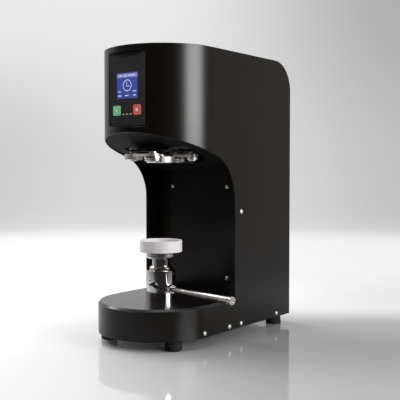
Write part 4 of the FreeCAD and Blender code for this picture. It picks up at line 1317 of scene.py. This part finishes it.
@dataclass
class SeamingArm(Assembly):
    """One arm of the turret with its boss at the pivot, and its roller and roller pin at their place."""
    number: int
    arm: Body
    roller: Body
    pivot: Point2
    place: Point2
    boss_radius: float
    groove: float
    hub: tuple[Point2, ...]
    low: float = 307.0
    top: float = 310.9
    edge: float = 0.5
    root_radius: float = 10.5
    end_radius: float = 11.5
    boss_low: float = 301.2
    boss_bore: float = 4.05
    boss_fillet: float = 0.8
    boss_rise: float = 0.02
    roller_radius: float = 15.0
    round_steps: int = 40

    def plate(self) -> Draft:
        """Tapered plate between the two round ends, and the boss.

        Returns:
            The arm.
        """
        dx, dy = self.place[0] - self.pivot[0], self.place[1] - self.pivot[1]
        start_radius = min(self.boss_radius, self.root_radius)
        heading = math.degrees(math.atan2(dy, dx))
        spread = math.degrees(math.acos((start_radius - self.end_radius) / math.hypot(dx, dy)))
        left, right = heading + spread, heading - spread
        outline = arc(self.pivot, start_radius, left, right + 360, self.round_steps)
        outline += arc(self.place, self.end_radius, right, left, self.round_steps)
        top = FlatBend(UPRIGHT * self.top, RIGHT, Vector((0, 1, 0)))
        draft = sheet(top, outline, [], self.top - self.low, self.edge)
        boss_top = self.top + self.boss_rise
        boss = lathe([(self.boss_bore, self.boss_low), (self.boss_radius, self.boss_low),
                      (self.boss_radius, boss_top), (self.boss_bore, boss_top)], self.boss_fillet)
        return draft.add(boss, Matrix.Translation((*self.pivot, 0)))

    def roller_profile(self) -> list[Point2]:
        """Roller with its groove, from the bore outwards.

        Returns:
            (radius, height) points.
        """
        deep = self.roller_radius - self.groove
        return [(5.05, 298.8), (13.8, 298.8), (14.4, 299.4), (14.4, 300.0), (deep, 300.8), (deep, 302.0),
                (self.roller_radius, 302.8), (self.roller_radius, 306.8), (5.05, 306.8)]

    def pin_profile(self) -> list[Point2]:
        """Roller pin with its foot, its stem and the arm's own hub.

        Returns:
            (radius, height) points.
        """
        return [(0, 297.0), (6.4, 297.0), (7.0, 297.6), (7.0, 298.6), (5.0, 298.6), (5.0, self.top),
                *self.hub, (0, self.hub[-1][1])]

    def build(self) -> list[bpy.types.Object]:
        """Make the arm, the roller and the pin.

        Returns:
            The three pieces.
        """
        n = str(self.number)
        at_place = Matrix.Translation((*self.place, 0))
        roller = Draft().add(lathe(self.roller_profile(), fillet=0.4), at_place)
        pin = Draft().add(lathe(self.pin_profile(), segments=SLENDER_SEGMENTS), at_place)
        return [
            self.plate().piece("arm_plate_" + n, Stock.GROUND_STEEL, self.arm, ["seaming_arm_" + n]),
            roller.piece("grooved_roller_" + n, Stock.STAINLESS, self.roller, ["seaming_roller_" + n]),
            pin.piece("roller_bolt_" + n, Stock.SATIN_STEEL, self.arm, ["roller_pin_" + n]),
        ]


@dataclass
class Turret(Assembly):
    """Chuck with its tapered lip and flange, and the two seaming arms round it."""
    chuck: tuple[Point2, ...] = (
        (6, 301.4), (17, 301.4), (18, 296.2), (23.0, 296.2), (23.8, 297.0), (24.4, 302.4), (25.6, 302.4),
        (25.6, 306.6), (10, 306.6), (10, 307.4), (6, 307.4))
    arms: tuple[SeamingArm, ...] = (
        SeamingArm(1, Body.ARM_1, Body.ROLLER_1, pivot=(-36.098, -27.699), place=(17.967, -40.165),
                   boss_radius=15.0, groove=1.4, hub=((6.5, 310.9), (6.5, 313.9), (6.0, 314.4))),
        SeamingArm(2, Body.ARM_2, Body.ROLLER_2, pivot=(48.532, 24.635), place=(4.905, 43.726),
                   boss_radius=9.0, groove=0.9,
                   hub=((9.3, 310.9), (9.3, 314.4), (6.0, 314.4), (6.0, 321.1))),
    )

    def build(self) -> list[bpy.types.Object]:
        """Make the chuck and the arms.

        Returns:
            The chuck and the pieces of both arms.
        """
        chuck = lathe(self.chuck, segments=WIDE_SEGMENTS)
        pieces = [chuck.piece("chuck_plate", Stock.SATIN_STEEL, Body.ROOT, ["seaming_chuck"])]
        for arm in self.arms:
            pieces += arm.build()
        return pieces


def play_symbol(x: float, z: float) -> list[Corner]:
    """Triangle that points right."""
    return [Corner(x - 2.2, z - 3.0, 0.4), Corner(x + 3.2, z, 0.4), Corner(x - 2.2, z + 3.0, 0.4)]


def halt_symbol(x: float, z: float) -> list[Corner]:
    """Square."""
    return rectangle(x, z, 5.2, 5.2, 0.5)


@dataclass
class PushButton:
    """One square push button with its symbol."""
    body: Body
    x: float
    stock: Stock
    symbol: Callable[[float, float], list[Corner]]


@dataclass(frozen=True)
class Plate:
    """Size of a flat piece: width, height, corner radius, thickness and rounding of its edges."""
    width: float
    height: float
    radius: float
    wall: float = 0.0
    edge: float = 0.0

    def outline(self, u: float, v: float) -> list[Corner]:
        """Outline about a centre."""
        return rectangle(u, v, self.width, self.height, self.radius)

    def cut(self, bend: Bend, u: float, v: float, holes: Sequence[Sequence[Corner]] = ()) -> Draft:
        """The piece about a centre, with holes where there are any."""
        return sheet(bend, self.outline(u, v), holes, self.wall, self.edge)


@dataclass
class ControlPanel(Assembly):
    """Face sheet, marks and buttons in the nose."""
    face_y: float = -81.93
    middle: float = 412.0
    face: Plate = Plate(77.6, 116.6, 4.4, 1.0, 0.25)
    screen_z: float = 418.25
    screen_opening: Plate = Plate(44.4, 40.9, 0.5)
    button_z: float = 378.8
    button_opening: Plate = Plate(17.2, 16.7, 2.85)
    button_cap: Plate = Plate(16.5, 16.0, 2.5, 5.6, 0.9)
    proud: float = 1.4
    symbol_wall: float = 0.2
    symbol_edge: float = 0.03
    symbol_proud: float = 0.06
    mark: Plate = Plate(4.6, 1.2, 0.55, 0.3, 0.06)
    mark_z: float = 372.9
    mark_proud: float = 0.12
    marks: tuple[float, ...] = (-8.4, -0.4, 7.8)
    buttons: tuple[PushButton, ...] = (
        PushButton(Body.START, -21.7, Stock.START_GREEN, play_symbol),
        PushButton(Body.STOP, 21.7, Stock.STOP_RED, halt_symbol),
    )

    def facing(self, proud: float = 0.0) -> FlatBend:
        """Plane that faces the front, in front of the face sheet by a length."""
        return FlatBend(Vector((0, self.face_y - proud, 0)), RIGHT, UPRIGHT)

    def build(self) -> list[bpy.types.Object]:
        """Make the sheet, the marks and the buttons.

        Returns:
            Face sheet, marks, and cap and symbol of each button.
        """
        holes = [self.screen_opening.outline(0, self.screen_z)]
        holes += [self.button_opening.outline(b.x, self.button_z) for b in self.buttons]
        face = self.face.cut(self.facing(), 0, self.middle, holes)
        marks = Draft()
        for x in self.marks:
            marks.add(self.mark.cut(self.facing(self.mark_proud), x, self.mark_z))
        pieces = [face.piece("panel_sheet", Stock.PANEL_BLACK, Body.ROOT, ["control_panel"]),
                  marks.piece("panel_marks", Stock.PRINT_WHITE)]
        for b in self.buttons:
            cap = self.button_cap.cut(self.facing(self.proud), b.x, self.button_z)
            pieces.append(cap.piece(b.body.value + "_cap", b.stock, b.body, [b.body.value]))
            symbol = sheet(self.facing(self.proud + self.symbol_proud), b.symbol(b.x, self.button_z), [],
                           self.symbol_wall, self.symbol_edge)
            pieces.append(symbol.piece(b.body.value + "_symbol", Stock.PRINT_WHITE, b.body))
        return pieces


@dataclass
class RearFittings(Assembly):
    """Metal pins of the inlet and the line and ring on its rocker switch."""
    x: float = -45.0
    inlet_z: float = 64.0
    back_y: float = 252.6
    pin: Plate = Plate(2.1, 4.1, 0.4, 9.0, 0.3)
    pin_depth: float = 6.9
    pins: tuple[Point2, ...] = ((-7.0, -2.0), (7.0, -2.0), (0.0, 2.0))
    switch_z: float = 88.0
    rocker_lean: float = 10.0
    face_lean: float = 24.0
    face_y: float = 1.84
    mark_z: float = 4.2
    line: Plate = Plate(0.7, 3.4, 0.2)
    ring_radius: float = 1.7
    ring_bore: float = 1.1
    ring_end: float = 354.0
    mark_wall: float = 0.2
    mark_edge: float = 0.03

    def facing(self, y: float) -> FlatBend:
        """Plane that faces the rear at a depth."""
        return FlatBend(Vector((0, y, 0)), -RIGHT, UPRIGHT)

    def rocker_marks(self) -> Draft:
        """Line on the upper face of the rocker and ring on the lower one.

        Returns:
            Both marks.
        """
        rocker = (Matrix.Translation((0, self.back_y, self.switch_z))
                  @ Matrix.Rotation(math.radians(self.rocker_lean), 4, "X"))
        line = self.line.outline(-self.x, self.mark_z)
        ring = arc((-self.x, -self.mark_z), self.ring_radius, 0, self.ring_end)
        bore = arc((-self.x, -self.mark_z), self.ring_bore, 0, self.ring_end)
        marks = Draft()
        for outline, holes, lean in ((line, [], self.face_lean), (ring, [bore], -self.face_lean)):
            face = Matrix.Translation((0, self.face_y, 0)) @ Matrix.Rotation(math.radians(lean), 4, "X")
            mark = sheet(self.facing(0.0), outline, holes, self.mark_wall, self.mark_edge)
            marks.add(mark, rocker @ face)
        return marks

    def build(self) -> list[bpy.types.Object]:
        """Make the pins and the marks.

        Returns:
            Pins and marks.
        """
        pins = Draft()
        for dx, dz in self.pins:
            plane = self.facing(self.back_y - self.pin_depth)
            pins.add(self.pin.cut(plane, -(self.x + dx), self.inlet_z + dz))
        return [pins.piece("inlet_pins", Stock.SCREW_STEEL),
                self.rocker_marks().piece("rocker_marks", Stock.PRINT_WHITE, Body.ROCKER)]


@dataclass(frozen=True)
class Softbox:
    """A soft light: place, aim and size in metres, power in watts, spread in degrees."""
    name: str
    place: Point3
    aim: Point3
    size: Point2
    power: float
    spread: float = 180.0

    def hang(self) -> None:
        """Add the light to the scene."""
        data = bpy.data.lights.new(self.name, "AREA")
        data.shape = "RECTANGLE"
        data.size, data.size_y = self.size
        data.energy = self.power
        data.spread = math.radians(self.spread)
        light = bpy.data.objects.new(self.name, data)
        light.location = self.place
        direction = Vector(self.aim) - Vector(self.place)
        light.rotation_euler = direction.to_track_quat("-Z", "Y").to_euler()
        bpy.context.scene.collection.objects.link(light)


@dataclass(frozen=True)
class Step:
    """A smooth step: start and end of its span in metres, then its first and last level."""
    start: float
    end: float
    first: float
    last: float

    def over(self, shader: Shader, value: Any) -> bpy.types.NodeSocket:
        """The step's level along a value."""
        return shader.remap(value, (self.start, self.end), (self.first, self.last), "SMOOTHSTEP")


@dataclass(frozen=True)
class GroundFinish(Finish):
    """Pale glossy table that runs up into a lit backdrop; x runs right and y away from the camera.

    Names that start with wall are levels of the backdrop, and those that start with table are levels
    of the floor's colour, where shade is painted in: the floor gets darker towards the front, and a
    painted shadow darkens it in front on the right. The mirrored ones are seen in steel and paint alone;
    the table's mirrored levels paint a brighter floor on the right and a nearly black one in front, as
    painted light and painted shade for reflections and bounce.
    """
    # Painted shade: the floor's colour gets darker towards the front.
    table_painted_falloff: Step = Step(-0.3, 0.3, 0.70, 0.90)
    # Painted shadow of the machine in the floor's colour, in front on the right.
    table_shadow: Step = Step(-0.3, 0.0, 0.25, 0.46)
    table_painted_shadow_end: Step = Step(0.1, 0.3, 1.0, 0.0)
    table_painted_shadow_side: Step = Step(-0.3, 0.25, 0.0, 1.0)
    # Painted light on the right and painted shade in front, in the floor's colour for rays other than
    # camera rays.
    table_mirrored_painted_light: Step = Step(0.38, 0.46, 0.0, 0.95)
    table_mirrored_painted_shade: Step = Step(-0.5, -0.36, 0.03, 1.0)
    table_end: Step = Step(0.45, 1.05, 0.0, 1.0)
    polish_scale: float = 8.0
    polish: Point2 = (0.07, 0.1)
    wall_top: Step = Step(-0.3, 1.3, 0.84, 0.42)
    wall_left: Step = Step(-1.1, -0.5, 0.61, 0.70)
    wall_right: Step = Step(0.3, 1.3, 0.70, 0.52)
    wall_rise: Step = Step(0.3, 1.3, 0.0, 1.0)
    wall_reach: Step = Step(1.7, 2.8, 0.0, 1.0)
    wall_foot: Step = Step(-0.3, 0.9, 1.0, 0.88)
    wall_mirrored: Step = Step(-0.9, 1.9, 0.03, 1.0)

    def wall(self, shader: Shader, across: Any, away: Any, height: Any) -> bpy.types.NodeSocket:
        """Level of the backdrop, brightest near the floor and darker to the right.

        Args:
            shader: Material that gets the nodes.
            across: Distance to the right.
            away: Distance from the camera's side.
            height: Height above the floor.

        Returns:
            The level.
        """
        left, right, top, foot = (level.over(shader, across) for level in
                                  (self.wall_left, self.wall_right, self.wall_top, self.wall_foot))
        low = shader.math("MINIMUM", left, right)
        upper = shader.blend(self.wall_rise.over(shader, height), low, top)
        reach = shader.hypotenuse(across, away)
        return shader.blend(self.wall_reach.over(shader, reach), foot, upper)

    def table(self, shader: Shader, across: Any, away: Any) -> bpy.types.NodeSocket:
        """Level of the floor's colour, with painted shade: darker in front, and a painted shadow on the
        right.

        Args:
            shader: Material that gets the nodes.
            across: Distance to the right.
            away: Distance from the camera's side.

        Returns:
            The level.
        """
        # Painted shadow in the floor's colour, in front on the right.
        shadow = shader.math("MULTIPLY", self.table_painted_shadow_end.over(shader, away),
                             self.table_shadow.over(shader, away))
        shadow = shader.math("MULTIPLY", shadow, self.table_painted_shadow_side.over(shader, across))
        return shader.math("SUBTRACT", self.table_painted_falloff.over(shader, away), shadow)

    def dress(self, shader: Shader) -> None:
        """Mix the real floor near the machine with the lit backdrop far from it.

        Args:
            shader: Material that gets the nodes.
        """
        across, away, height = shader.axes()
        rays = shader.add("LightPath").outputs
        seen = rays["Is Camera Ray"]
        reflected = shader.math("MAXIMUM", rays["Is Glossy Ray"], rays["Is Transmission Ray"])
        wall = self.wall(shader, across, away, height)
        shaded = shader.math("MULTIPLY", wall, self.wall_mirrored.over(shader, away))
        table = self.table(shader, across, away)
        # For rays other than camera rays the floor's colour carries painted light on the right and painted
        # shade in front.
        beside = shader.math("MAXIMUM", table, self.table_mirrored_painted_light.over(shader, across))
        beside = shader.math("MULTIPLY", beside, self.table_mirrored_painted_shade.over(shader, away))
        shader.put(Base_Color=shader.blend(seen, beside, table),
                   Roughness=shader.spread(shader.noise(self.polish_scale), *self.polish))
        glow, clear = shader.add("Emission"), shader.add("BsdfTransparent")
        far, whole = shader.add("MixShader"), shader.add("MixShader")
        reach = shader.hypotenuse(across, away)
        for source, target in ((shader.blend(seen, shaded, wall), glow.inputs["Color"]),
                               (shader.math("MAXIMUM", seen, reflected), far.inputs[0]),
                               (clear.outputs[0], far.inputs[1]),
                               (glow.outputs[0], far.inputs[2]),
                               (self.table_end.over(shader, reach), whole.inputs[0]),
                               (shader.surface.outputs[0], whole.inputs[1]),
                               (far.outputs[0], whole.inputs[2]),
                               (whole.outputs[0], shader.output.inputs["Surface"])):
            shader.link(source, target)


@dataclass
class Studio(Assembly):
    """Camera, lights, surroundings, floor and backdrop, in metres.

    The sky is a brightness at each share of the way round from the far side to the camera's side.
    """
    heading: float = 37.53
    camera_place: Point3 = (0.8176, -0.9568, 0.2840)
    camera_pitch: float = 87.717
    lens: float = 67.39
    sensor: float = 36.0
    clipping: Point2 = (0.01, 60.0)
    sky: tuple[Point2, ...] = ((0.0, 0.52), (0.42, 0.42), (0.58, 0.16), (0.75, 0.04), (1.0, 0.03))
    sky_blue: float = 1.01
    sky_dip: float = -0.1
    floor_rings: tuple[float, ...] = (0.4, 0.8, 1.2, 1.6, 2.0, 2.4)
    bowl_radius: float = 0.8
    bowl_steps: int = 24
    bowl_top: float = 4.0
    segments: int = 128
    ground_finish: Finish = GroundFinish("ground")
    lights: tuple[Softbox, ...] = (
        Softbox("strip", (1.57, 0.18, 0.68), (0.05, 0.0, 0.64), (1.0, 0.8), 8.5, 75.0),
        Softbox("key", (-1.3, 0.2, 1.7), (0.0, 0.05, 0.2), (1.4, 1.4), 36.0),
        Softbox("fill", (-0.55, -1.25, 1.5), (0.0, 0.0, 0.35), (0.5, 0.5), 12.0),
        Softbox("top", (0.0, 0.1, 2.0), (0.0, 0.0, 0.0), (1.4, 1.4), 12.0),
    )

    def camera(self) -> None:
        """Place the camera as in the photograph."""
        data = bpy.data.cameras.new("camera")
        data.lens = self.lens
        data.sensor_width = self.sensor
        data.clip_start, data.clip_end = self.clipping
        camera = bpy.data.objects.new("camera", data)
        camera.location = self.camera_place
        camera.rotation_euler = (math.radians(self.camera_pitch), 0, math.radians(self.heading))
        bpy.context.scene.collection.objects.link(camera)
        bpy.context.scene.camera = camera

    def world(self) -> None:
        """Pale surroundings that are darker behind the camera, for contrast in the steel."""
        world = bpy.data.worlds.new("surroundings")
        world.use_nodes = True
        bpy.context.scene.world = world
        tree = world.node_tree
        tree.nodes.clear()
        coordinates = tree.nodes.new("ShaderNodeTexCoord")
        aim = tree.nodes.new("ShaderNodeVectorMath")
        aim.operation = "DOT_PRODUCT"
        angle = math.radians(self.heading)
        aim.inputs[1].default_value = (math.sin(angle), -math.cos(angle), self.sky_dip)
        half = tree.nodes.new("ShaderNodeMapRange")
        half.inputs["From Min"].default_value = -1.0
        ramp = tree.nodes.new("ShaderNodeValToRGB")
        stops = ramp.color_ramp.elements
        for index, (position, value) in enumerate(self.sky):
            stop = stops[index] if index < len(stops) else stops.new(position)
            stop.position = position
            stop.color = (value, value, value * self.sky_blue, 1.0)
        background = tree.nodes.new("ShaderNodeBackground")
        output = tree.nodes.new("ShaderNodeOutputWorld")
        for source, target in ((coordinates.outputs["Generated"], aim.inputs[0]),
                               (aim.outputs["Value"], half.inputs["Value"]),
                               (half.outputs["Result"], ramp.inputs["Fac"]),
                               (ramp.outputs["Color"], background.inputs["Color"]),
                               (background.outputs[0], output.inputs["Surface"])):
            tree.links.new(source, target)

    def ground(self) -> None:
        """Floor that rises all round into a bowl."""
        rim = self.floor_rings[-1]
        rise = [(radius, 0.0) for radius in self.floor_rings]
        for k in range(1, self.bowl_steps + 1):
            a = math.pi / 2 * k / self.bowl_steps
            rise.append((rim + self.bowl_radius * math.sin(a), self.bowl_radius * (1 - math.cos(a))))
        rise.append((rim + self.bowl_radius, self.bowl_top))
        turns = [2 * math.pi * k / self.segments for k in range(self.segments)]
        points = [(0.0, 0.0, 0.0)]
        points += [(r * math.cos(t), r * math.sin(t), z) for r, z in rise for t in turns]
        following = [(k + 1) % self.segments for k in range(self.segments)]
        faces: list[tuple[int, ...]] = [(0, 1 + k, 1 + n) for k, n in enumerate(following)]
        for row in range(len(rise) - 1):
            low, high = 1 + row * self.segments, 1 + (row + 1) * self.segments
            faces += [(low + k, high + k, high + n, low + n) for k, n in enumerate(following)]
        mesh = bpy.data.meshes.new("ground")
        mesh.from_pydata(points, [], faces)
        mesh.polygons.foreach_set("use_smooth", [True] * len(mesh.polygons))
        mesh.materials.append(self.ground_finish.build())
        ground = bpy.data.objects.new("ground", mesh)
        ground.rotation_euler = (0, 0, math.radians(self.heading))
        bpy.context.scene.collection.objects.link(ground)

    def build(self) -> list[bpy.types.Object]:
        """Set up the studio; nothing here is part of the machine.

        Returns:
            No pieces.
        """
        bpy.context.scene.view_settings.view_transform = "Standard"
        self.camera()
        for light in self.lights:
            light.hang()
        self.world()
        self.ground()
        return []


# Rounding in millimetres of the edges of nodes that keep their shape.
SOFTENED = {
    "carrier": 0.4, "spindle_nut": 0.3, "pivot_pins": 0.25, "pivot_clips": 0.2, "pivot_nuts": 0.3,
    "lever_nut": 0.35, "guide_pin": 0.3, "chuck_screw": 0.3, "feet": 0.6, "power_inlet": 0.3,
    "switch_rocker": 0.4, "bottom_pan": 0.3,
}

# Nodes whose finish isn't the plain one of their slot.
SPECIAL = {
    "guide_pin": Stock.CHROME, "lever_nut": Stock.CHROME, "pivot_nuts": Stock.SATIN_STEEL,
    "pivot_pins": Stock.SATIN_STEEL, "head_underside": Stock.MATT_COAT,
}


def main() -> None:
    """Build the machine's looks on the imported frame."""
    logging.basicConfig(level=logging.INFO, format="%(name)s %(message)s")
    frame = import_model()
    assemblies = (Studio(), Housing(), Base(), Screws(), Lift(), Turret(), ControlPanel(), RearFittings(),
                  CarriedNodes(frame["nodes"], SOFTENED, SPECIAL))
    for assembly in assemblies:
        made = assembly.build()
        LOG.info("%s: %d pieces", type(assembly).__name__, len(made))
    bpy.context.view_layer.update()


if __name__ == "__main__":
    main()
